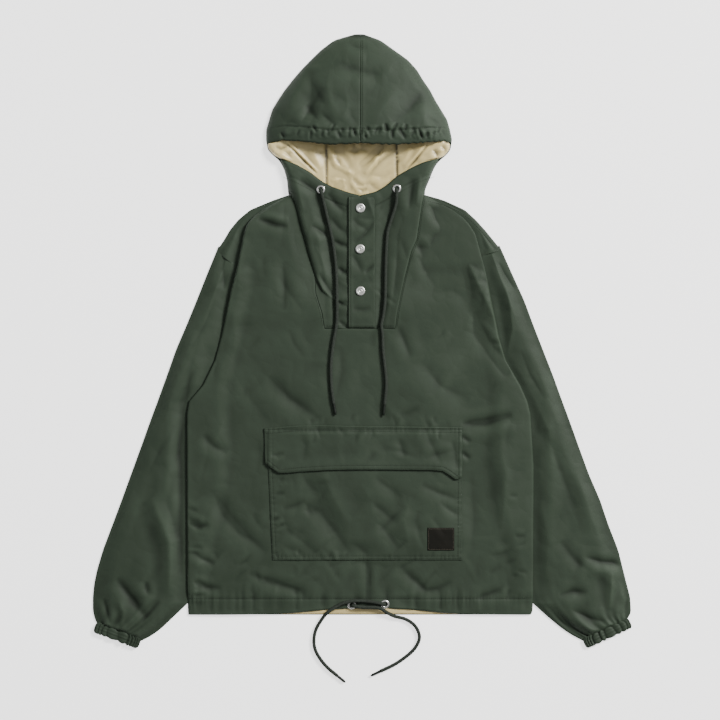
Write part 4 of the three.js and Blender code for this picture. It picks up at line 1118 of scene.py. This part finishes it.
# ---------------------------------------------------------------- sleeves and cuffs
def sleeve(name, side, table, folds, seed):
    """A closed tube that narrows into its cuff; the rows run from outer to inner edge."""
    table = np.array(table)
    known = measured((table[:, :2] + table[:, 2:]) / 2)
    total = known[-1]
    run = np.linspace(0, total, 280)
    rows = rounded(sampled(table, known, run))
    outer, inner = rows[:, :2], rows[:, 2:]
    width = np.linalg.norm(inner - outer, axis=1)[:, None]

    def wall(share):
        u = np.repeat(share[None], len(rows), 0)
        return u, *(outer[:, [k]] + (inner - outer)[:, [k]] * u for k in (0, 1))

    u, x, y = wall(edge_lanes(84))
    runs = np.repeat(run[:, None], u.shape[1], 1)
    z = sleeve_height(x, y, u, runs, total, width, side, folds, seed)
    u, under_x, under_y = wall(edge_lanes(26, 1.9)[::-1][1:-1])
    inset = np.minimum(u, 1 - u) * width
    box = (rows[:, ::2].min(), -40, rows[:, ::2].max(), 560)
    lean = 60 if side == 1 else -60
    under_z = 1.7 - 1.6 * roll(inset, 3.0) + hollows(
        under_x, under_y, seed + 2, 30, box, lean, 45, np.minimum(inset, 30), 4)
    grid = (np.concatenate(pair, 1) for pair in ((x, under_x), (y, under_y), (z, under_z)))
    cloth("smock_" + name, name, "shell", [sheet(*grid, 4, wrap=True, flip=side == 1)],
          (0.34, 0.66), 0.165)


sleeve("sleeve_left", 1, SLEEVE_LEFT, SLEEVE_LEFT_FOLDS, 51)
sleeve("sleeve_right", 2, SLEEVE_RIGHT, SLEEVE_RIGHT_FOLDS, 61)

# Rows of a cuff from the sleeve's side to the open end: place along its depth, and how far
# the wall stands in there.
CUFF_ROWS = [
    (-8.6, 1.2), (-8.2, 0.6), (-7.2, 0.2), (-5.6, 0), (-4.2, 0), (-3.0, 0), (-1.8, 0), (-0.6, 0),
    (0.5, 0), (1.6, 0), (2.8, 0), (4.4, 0), (6.3, 0), (7.6, 0.2), (8.0, 0.9), (7.4, 1.7), (6, 2.0),
]
CUFF_RIBS, CUFF_SIDES = 23, 300


def cuff(name, line, seed):
    """A tube of gathered cloth over elastic, ribbed along its depth."""
    draw = np.random.RandomState(seed)
    ox, oy, ix, iy = line
    width = math.hypot(ix - ox, iy - oy)
    ax, ay = (ix - ox) / width, (iy - oy) / width
    sign = 1 if ix > ox else -1
    dx, dy = sign * ay, -sign * ax
    turns = np.linspace(0, 2 * math.pi, CUFF_SIDES, endpoint=False)
    around, upward = np.cos(turns), np.sin(turns)
    # Uneven ribs: each takes its own share of the way round.
    shares = draw.uniform(0.5, 1.5, CUFF_RIBS)
    bounds = np.concatenate([[0], np.cumsum(shares)]) * 2 * math.pi / shares.sum()
    phase = np.interp(turns, bounds, np.arange(CUFF_RIBS + 1)) * 2 * math.pi
    tall = np.interp(turns, bounds, np.append(draw.uniform(0.6, 1.3, CUFF_RIBS), 1.0))
    skew = np.interp(turns, bounds, np.append(draw.uniform(-0.9, 0.9, CUFF_RIBS), 0.0))
    rows = []
    for v, cut in CUFF_ROWS:
        rib = (2 * np.abs(np.sin((phase + skew * v / 8) / 2)) ** 0.75 - 1) * tall
        ruched = 0.5 * (hill(v + 3.0, 0.9) + hill(v - 1.6, 0.9)) * (1 + 0.4 * rib)
        height = 3.7 * (1 - 0.16 * (v / 8) ** 2) + 1.35 * rib - cut - ruched
        across = width / 2 + 1.2 - cut + 0.9 * rib - 4.6 * (v / 8.6) ** 4
        run = width / 2 - across * powered(around, 0.8)
        out = v + 1.2 * rib * (v / 8) * (abs(v) > 4)
        z = np.maximum(4.2 + height * powered(upward, 0.75), 0.15)
        rows.append((ox + ax * run + dx * out, oy + ay * run + dy * out, z))
    x, y, z = np.transpose(rows, (1, 0, 2))
    cloth("smock_" + name, name, "cuff", [sheet(x, y, z, 3, wrap=True, flip=sign > 0)],
          (0.19, 0.02))


cuff("cuff_left", (-435.6, -23, -364.7, -49.5), 3)
cuff("cuff_right", (443.9, -15.7, 371.3, -49.5), 4)


# ---------------------------------------------------------------- hood
def along(path, t):
    """x and y at shares t of a path's length."""
    run = measured(path)
    return (np.interp(t * run[-1], run, column) for column in np.transpose(path))


def round_path(path, count=60):
    return rounded(np.stack(list(along(path, np.linspace(0, 1, count))), 1))


LIP_END, BRIM_BASE = 748.5, 775
HOOD_TURN = ((3.0, 1.0), (1.2, 0.75), (0.3, 0.35))  # inward, share of the way down


def lower_grid(side, rows=126, columns=58):
    """Seam to middle and bib foot to lip, by blending the four edges."""
    lip = round_path(LIP_LEFT if side == 1 else LIP_RIGHT)
    (start_x, start_y), (end_x, end_y) = lip[0], lip[-1]
    v = np.linspace(0, 1, rows)[:, None] ** 0.96
    u = (np.linspace(0, 1, columns) ** 1.25)[None]
    edge_y = BIB_FOOT + v * (LIP_END - BIB_FOOT)
    edge_x, foot_x = BIB(edge_y, side), BIB(BIB_FOOT, side)
    top_x, top_y = along(lip, u)
    x = (1 - u) * edge_x + (1 - v) * (1 - u) * foot_x + v * top_x
    x = x - ((1 - u) * (1 - v) * foot_x + (1 - u) * v * start_x + u * v * end_x)
    y = (1 - u) * edge_y + u * (BIB_FOOT + v * (end_y - BIB_FOOT)) + (1 - v) * BIB_FOOT + v * top_y
    y = y - ((1 - v) * BIB_FOOT + (1 - u) * v * start_y + u * v * end_y)
    return x, y


def crown_grid(side, columns=104):
    """Brim to crown's top; columns crowd towards the outline."""
    turn = np.linspace(0, 1, columns)
    share = 0.45 * turn + 0.55 * (1 - np.cos(turn * math.pi / 2)) ** 0.92
    above = np.concatenate([[0, 0.5, 1.2], np.arange(2.2, 40, 1.3), np.linspace(41, 179.6, 50)])
    edge = HOOD(BRIM_BASE + above, side)
    x, y = spanned(BRIM_BASE + above, edge, np.zeros_like(edge), share)
    return x, y + (brim(x) - BRIM_BASE) * (1 - step(above[:, None], 0, 26))


def hood(name, side, inward):
    """Crown, lower front with its half of the bib, and back, in one piece of cloth."""
    x, y = lower_grid(side)
    z = bib_height(x, y)
    # The side edge goes round and under, down to the front panel.
    drop = np.clip(z[:, 0] - np.where(y[:, 0] > 695, 0.7, 3.9), 0.2, 12)
    turn = [(inward * reach, -drop * share) for reach, share in HOOD_TURN]
    lower = [v.T for v in turned_under([x.T, y.T, z.T], turn)]
    crown = crown_grid(side)
    back_y = np.concatenate([np.arange(690, 950, 3.2), [954]])
    edge = HOOD(back_y, side)
    x, y = spanned(back_y, edge, np.zeros_like(edge), np.linspace(0, 1, 44) ** 1.2)
    inset = np.abs(HOOD(y, side)) - np.abs(x)
    z = FLOOR_LIFT + 0.5 * hill(x, 1.8) * step(inset, 2, 8) * step(y, 785, 800)
    z += step(y, 785, 815) * hollows(
        x, y, 111 + side, 24, (-140, 700, 140, 930), 80, 60, inset, 4)
    grids = ((*lower, 4), (*crown, crown_height(*crown), 4), (x, y, z, 0))
    sheets = [sheet(*grid, flip=side == 2) for grid in grids]
    return cloth("smock_" + name, name, "shell", sheets, (0.22, 0.76), 0.1)


hood_left = hood("hood_left", 1, 1)
hood_right = hood("hood_right", 2, -1)

# Lining in the mouth, with its upper part inside the crown.
LINING_REACH = Line([
    (664, -26, 32), (680, -48, 52), (692, -62, 66), (706, -80, 84), (720, -95, 95),
    (734, -106, 105), (744, -118, 116), (748.5, -131, 130), (755, -142.5, 141),
    (764, -150.6, 147.6), (772, -152, 148), (777, -149, 145), (790, -138, 134), (842, -112, 106),
], 5)
lining_y = np.concatenate([np.arange(664, 776, 1.6), np.arange(776, 842, 4)])
x, y = between(LINING_REACH, lining_y, edge_lanes(150, 1.35))
cloth("smock_hood_lining", "hood_lining", "lining", [sheet(x, y, lining_height(x, y), 3)],
      (0.3, 0.18), 0.044, ["hood_left", "hood_right"])

# ---------------------------------------------------------------- pieces laid on the panels
PLACKET_FOOT, PLACKET_TOP = 470.5, 685.2
placket_y = np.concatenate([
    [PLACKET_FOOT, 471.2, 472.5], np.arange(475, 682, 2.2), [683.5, 684.6, PLACKET_TOP]])
left = np.full(len(placket_y), PLACKET_LEFT)
right = PLACKET_RIGHT - 2.8 * step(placket_y, 679, PLACKET_TOP)
x, y = spanned(placket_y, left, right, edge_lanes(34, 1.5))
z = placket_height(x, y) - 1.2 * hill(y - PLACKET_FOOT, 1.2) - 1.0 * hill(y - PLACKET_TOP, 1.4)
placket = cloth("smock_placket", "placket", "shell", [sheet(x, y, z, 3)], (0.044, 0.216),
                rests_on=["hood_left", "hood_right"])

pocket_y = np.concatenate([[POCKET_FOOT, 88.2, 89.2, 90.6], np.arange(92.5, 300, 2.2)])
x, y = between(POCKET_TABLE, pocket_y, edge_lanes(150, 1.2))
y = y + 0.8 * np.sin(x / 60.0) * (y < 91)
pocket = cloth("smock_pocket", "pocket", "shell", [sheet(x, y, pocket_height(x, y), 4)],
               (0.32, 0.211), rests_on=["front_panel"])

FLAP_TOP = [
    (-158.4, 305), (-140, 306.5), (-105, 310), (-60, 310.6), (-16.5, 309.5), (30, 309),
    (75, 308.4), (115, 307.8), (142, 307.4), (157, 307.2), (168.6, 307),
]
FLAP_FOOT = [
    (-156.3, 248), (-145, 239), (-134, 231), (-118, 231.5), (-98, 233.5), (-55, 236), (-10, 237),
    (36, 237), (82, 236.4), (118, 236), (136, 234.5), (147, 228), (157, 220.5), (162, 221),
    (167.6, 224.5),
]
u, v = edge_lanes(150, 1.2), edge_lanes(40, 1.5)[:, None]
(top_x, top_y), (foot_x, foot_y) = along(FLAP_TOP, u), along(FLAP_FOOT, u)
x, y = foot_x + (top_x - foot_x) * v, foot_y + (top_y - foot_y) * v
from_side = np.broadcast_to(np.minimum(u, 1 - u) * 327, y.shape)
z = flap_height(x, y, from_side, y - foot_y)
inset = np.minimum(from_side, np.minimum(y - foot_y, top_y - y))
z = rolled(z - 1.6, z, inset + 0.05, 1.4)
flap = cloth("smock_flap", "pocket_flap", "shell", [sheet(x, y, z, 3)], (0.328, 0.08), 0.0245,
             ["front_panel", "pocket"])

LABEL_LEFT, LABEL_RIGHT, LABEL_FOOT, LABEL_TOP = 111, 155, 104, 141.4
y, x = np.meshgrid(np.linspace(LABEL_FOOT, LABEL_TOP, 34),
                   np.linspace(LABEL_LEFT, LABEL_RIGHT, 40), indexing="ij")
inset = np.minimum.reduce([x - LABEL_LEFT, LABEL_RIGHT - x, y - LABEL_FOOT, LABEL_TOP - y])
z = pocket_height(x, y) + 0.3 - 0.35 * hill(inset - 1.8, 0.7) + 0.6 * roll(inset + 0.05, 1.0)
label = cloth("smock_label", "label", "label", [sheet(x, y, z)], (0.044, 0.0374),
              rests_on=["pocket"])


# ---------------------------------------------------------------- fittings
def surface_of(*pieces):
    """A function for the highest point of the pieces over x, y, all in millimetres."""
    graph = bpy.context.evaluated_depsgraph_get()
    trees = [BVHTree.FromObject(piece, graph) for piece in pieces]

    def height(x, y):
        px, py, _ = place(x, y, 0)
        hits = [tree.ray_cast(Vector((px, py, 0.2)), Vector((0, 0, -1)))[0] for tree in trees]
        return max([0.0] + [hit.z / MM for hit in hits if hit is not None])

    return height


bpy.context.view_layer.update()
top_pieces = [front, pocket, flap, hood_left, hood_right, placket]
body_top, placket_top = surface_of(*top_pieces), surface_of(placket)
ground = surface_of(*top_pieces, back, facing)


def slope(surface, x, y, reach):
    """The cloth's direction at x, y, from points at reach round it."""
    east, west = surface(x + reach, y), surface(x - reach, y)
    north, south = surface(x, y + reach), surface(x, y - reach)
    return Vector(((west - east) / (2 * reach), (south - north) / (2 * reach), 1)).normalized()


def ring_round(x, y, radius, count):
    """Points round x, y with their offsets."""
    angles = np.linspace(0, 2 * math.pi, count, endpoint=False)
    return [(x + dx, y + dy, dx, dy)
            for dx, dy in zip(radius * np.cos(angles), radius * np.sin(angles))]


def lathe(name, node, slot, material, profile, x, y, surface, reach, sides=64):
    """A turned fitting: profile is radius, height in millimetres, set square to the cloth."""
    normal = slope(surface, x, y, reach)
    lift = max(
        surface(px, py) + (normal.x * dx + normal.y * dy) / normal.z
        for r in (0.5 * reach, reach) for px, py, dx, dy in ring_round(x, y, r, 12))
    turn = normal.to_track_quat("Z", "Y")
    rows = np.array([
        [turn @ Vector((dx, dy, z)) for _, _, dx, dy in ring_round(x, y, r, sides)]
        for r, z in profile]) + (x, y, lift)
    return for_node(build(name, [sheet(*np.moveaxis(rows, 2, 0), wrap=True)], material), node, slot)


SNAP_PROFILE = [
    (0.01, -0.4), (7.1, -0.4), (7.6, 0.0), (7.75, 0.5), (7.65, 1.1), (7.3, 1.6), (6.7, 1.95),
    (6.0, 2.1), (4.9, 2.1), (4.55, 1.95), (4.35, 1.4), (4.1, 0.95), (3.75, 0.95), (3.5, 1.3),
    (3.2, 1.55), (2.4, 1.6), (1.7, 1.55), (1.5, 1.2), (1.2, 0.95), (0.01, 0.9),
]
EYELET_PROFILE = [
    (3.5, -0.4), (3.45, 0.3), (3.7, 0.9), (4.3, 1.35), (5.2, 1.5), (6.2, 1.3), (7.0, 0.8),
    (7.4, 0.1), (7.3, -0.4), (5.0, -0.45), (3.5, -0.4),
]
SNAPS = {"top": (0.8, 667), "middle": (0.3, 600), "bottom": (0.8, 531)}
EYELETS = {"hood_left": (-64.5, 697.5), "hood_right": (60.5, 699), "hem_left": (-13.5, 14),
           "hem_right": (41.4, 15.2)}
for where, (x, y) in SNAPS.items():
    lathe("cap_" + where, "snap_" + where, "snap", SNAP, SNAP_PROFILE, x, y, placket_top, 8.0)
for where, (x, y) in EYELETS.items():
    lathe("ring_" + where, "eyelet_" + where, "eyelet", EYELET, EYELET_PROFILE, x, y, body_top, 7.0)

# ---------------------------------------------------------------- cords
CORD_RADIUS, TIP_RADIUS, TIP_LENGTH = 3.0, 2.3, 18.0
CORD_PITCH = 1.6
BRAID = 0.10  # share of the radius between the braid's hollows and ridges
BRAID_TURN = 1.5  # radians for each millimetre
EYELET_TOP, EYELET_EDGE, CLEAR_OF_EYELET = 1.7, 7.4, 11.5
CORD_ROUTES = {
    "hood_left": [(x, y) for y, x in CORD_LEFT_ROWS[:0:-1]] + [(-43, 345)],
    "hood_right": [(x, y) for y, x in CORD_RIGHT_ROWS[::-1]],
    "hem_left": [
        (41.2, 15.4), (22, 19), (-5, 21.4), (-25, 18.5), (-40.4, 11), (-54.5, 1), (-65, -13),
        (-73, -28), (-76, -45), (-73.6, -60.6), (-65, -76), (-53, -90), (-38, -102.6),
    ],
    "hem_right": [
        (-13.3, 13.4), (5, 10.6), (22, 10.4), (34, 8.6), (44, 2), (56.6, -4.5), (75, -9.7),
        (89, -19), (96.5, -31.4), (97.4, -43.7), (90.4, -57.6), (78, -69.8), (58, -83.7),
        (34, -95.4),
    ],
}


def spline(points, pitch):
    """Catmull-Rom curve through the points, resampled at an even pitch."""
    p = np.array(points, float)
    p = np.vstack([2 * p[0] - p[1], p, 2 * p[-1] - p[-2]])
    t = np.linspace(0, 1, 24, endpoint=False)[:, None]
    parts = [
        0.5 * (2 * b + (c - a) * t + (2 * a - 5 * b + 4 * c - d) * t * t
               + (3 * b - a - 3 * c + d) * t ** 3)
        for a, b, c, d in zip(p, p[1:], p[2:], p[3:])]
    curve = np.vstack([*parts, p[-2:-1]])
    run = measured(curve)
    return sampled(curve, run, np.linspace(0, run[-1], max(2, int(run[-1] / pitch)) + 1))


def unit(vectors):
    return vectors / np.linalg.norm(vectors, axis=-1, keepdims=True)


def tube_rows(path, radius, sides, braid=0.0, taper=1.0):
    """Rings round a path, each square to it; braid raises two crossing sets of strands."""
    heading = unit(np.gradient(path, axis=0))
    across = unit(np.cross(heading, (0, 0, 1.0)))
    up = np.cross(across, heading)
    a = np.linspace(0, 2 * math.pi, sides, endpoint=False)
    turn = measured(path)[:, None] * BRAID_TURN
    strands = np.maximum(np.cos(4 * a + turn), np.cos(4 * a - turn))
    r = radius * (1 - braid + braid * strands) * np.reshape(taper, (-1, 1))
    cosine, sine = np.cos(a)[:, None], np.sin(a)[:, None]
    return path[:, None] + r[..., None] * (cosine * across[:, None] + sine * up[:, None])


def tube_sheet(rows):
    """A tube's grid, its ends closed with a small ring at each centre."""
    start, end = (ring.mean(0) + (ring - ring.mean(0)) * 0.02 for ring in (rows[0], rows[-1]))
    closed = np.concatenate([start[None], rows, end[None]])
    return sheet(*np.moveaxis(closed, 2, 0), wrap=True, flip=True)


def averaged(values, weights):
    """A row of values averaged with weights, its ends repeated outward."""
    return np.convolve(np.pad(values, len(weights) // 2, mode="edge"), weights, "valid")


for key, route in CORD_ROUTES.items():
    flat = spline(route, CORD_PITCH)
    height = np.array([
        max([ground(x, y)] + [ground(px, py) for px, py, _, _ in ring_round(x, y, 2.0, 8)])
        for x, y in flat])
    for eye in EYELETS.values():
        away = np.hypot(*(flat - eye).T)
        over = EYELET_TOP * (1 - step(away, EYELET_EDGE, CLEAR_OF_EYELET))
        if away[0] < 3:
            # The cord's own eyelet: it comes up out of the hole.
            over = over * step(away, 0.5, 4.5) - 0.9 * (1 - step(away, 0, 4))
        height += over
    # The cord bridges small dips, so its line is the height smoothed from above.
    padded = np.pad(height, 6, mode="edge")
    highest = np.array([padded[k:k + 13].max() for k in range(len(height))])
    bridged = np.maximum(averaged(highest, bell(13)), height)
    share = step(np.linspace(0, len(height) * CORD_PITCH, len(height)), 2, 9)
    path = np.column_stack([flat, height + (bridged - height) * share + CORD_RADIUS + 0.05])
    rows = tube_rows(path, CORD_RADIUS, 20, BRAID)
    cord = for_node(build("drawcord_" + key, [tube_sheet(rows)], CORD), "cord_" + key, "cord")
    # The bound tip goes on in the cord's direction, and rests on what lies below.
    way = unit(path[-1] - path[-4])
    way[2] = np.clip(way[2], -0.05, 0.05)
    tip_run = np.linspace(0.2, TIP_LENGTH, 26)
    tip_path = path[-1] + way * tip_run[:, None]
    tip_path[0, 2] = path[-1, 2]
    for point in tip_path[1:]:
        point[2] = max(point[2], ground(*point[:2]) + TIP_RADIUS)
    tip_path[:, 2] = averaged(tip_path[:, 2], np.ones(7) / 7)
    taper = 1 - 0.45 * step(tip_run, TIP_LENGTH - 4, TIP_LENGTH) + 0.1 * hill(tip_run - 0.2, 1.5)
    rows = tube_rows(tip_path, TIP_RADIUS, 16, taper=taper)
    tip = for_node(build("cord_end_" + key, [tube_sheet(rows)], TIP), "tip_" + key, "cord_tip")
    metres = [tuple(place(*point)) for point in path]
    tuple(metres[0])


# ---------------------------------------------------------------- stitches
def stitches(name, lines, host, material=THREAD, pitch=3.4, length=2.5, radius=0.28):
    """Short rounded threads along lines of x, y, lying on the host pieces."""
    surface = surface_of(*host)
    sheets = []
    for line in lines:
        path = spline(line, pitch)
        for a, way in zip(path, unit(np.diff(path, axis=0))):
            tail = a + way * length
            za, zb = surface(*a), surface(*tail)
            thread = [
                (*a, za - 0.1), (*(a + way * 0.5), za + 0.12),
                (*(a + way * length * 0.5), (za + zb) / 2 + 0.2),
                (*(tail - way * 0.5), zb + 0.12), (*tail, zb - 0.1),
            ]
            sheets.append(tube_sheet(tube_rows(np.array(thread), radius, 5)))
    build(name, sheets, material)


def offset_line(points, distance):
    """A line moved to its left by distance."""
    p = np.array(points, float)
    way = unit(np.gradient(p, axis=0))
    return p + distance * np.stack([-way[:, 1], way[:, 0]], 1)


def pocket_outline(inset):
    heights = np.linspace(296, 88 + inset, 8)
    return [
        [(POCKET_TABLE(y, 1) + inset, y) for y in heights],
        [(x, 88 + inset) for x in np.linspace(-144.5 + inset, 168.3 - inset, 8)],
        [(POCKET_TABLE(y, 2) - inset, y) for y in heights[::-1]],
    ]


stitches("pocket_stitching", [line for inset in POCKET_STITCHES for line in pocket_outline(inset)],
         [pocket])
stitches("flap_stitching", [
    *(offset_line(FLAP_FOOT, inset) for inset in FLAP_STITCHES),
    *(offset_line(FLAP_TOP, -inset) for inset in (3.0, 9.0)),
], [flap])
stitches("body_stitching", [
    [(x, HEM_SEAM) for x in np.linspace(-280, 274, 20)],
    [(112, 679), (140, 672), (168, 659), (186, 644), (202, 627), (216, 610)],
    [(BIB(y, 2) + 3, y) for y in (474, 500, 540, 580, 620, 660, 684)],
    [(BIB(y, 1) - 3, y) for y in (474, 490, 506, 522)],
    [(-233, 594.5), (-222, 583.5), (-206, 573.5)],
    [(-279.7, 6), (-281, 60), (-281.5, 120)],
], [front])
stitches("hood_stitching", [
    [(x, BRIM_STITCH + BRIM(x) - BRIM_LEVEL) for x in np.linspace(-146, 142, 20)],
    [(4.5, y) for y in np.linspace(778, 944, 12)],
    offset_line(round_path(LIP_LEFT, 9), -CHANNEL)[1:],
    offset_line(round_path(LIP_RIGHT, 9), CHANNEL)[1:],
    [(x, 473.6) for x in (-54, -44, -32, -22)],
    [(x, 473.6) for x in (27, 36, 46, 54)],
], [hood_left, hood_right])
stitches("placket_stitching", [
    [(PLACKET_LEFT + 3.5, y) for y in (474, 580, 680)],
    [(x, 473.4) for x in (PLACKET_LEFT + 2, 2, PLACKET_RIGHT - 2)],
], [placket])
stitches("label_stitching", [
    [(112.8, 106), (112.8, 123), (112.8, 139.6)], [(113, 139.6), (133, 139.6), (153, 139.6)],
    [(153.2, 139.6), (153.2, 123), (153.2, 106)], [(153, 105.8), (133, 105.8), (113, 105.8)],
], [label], LABEL_THREAD, 2.6, 1.8, 0.22)
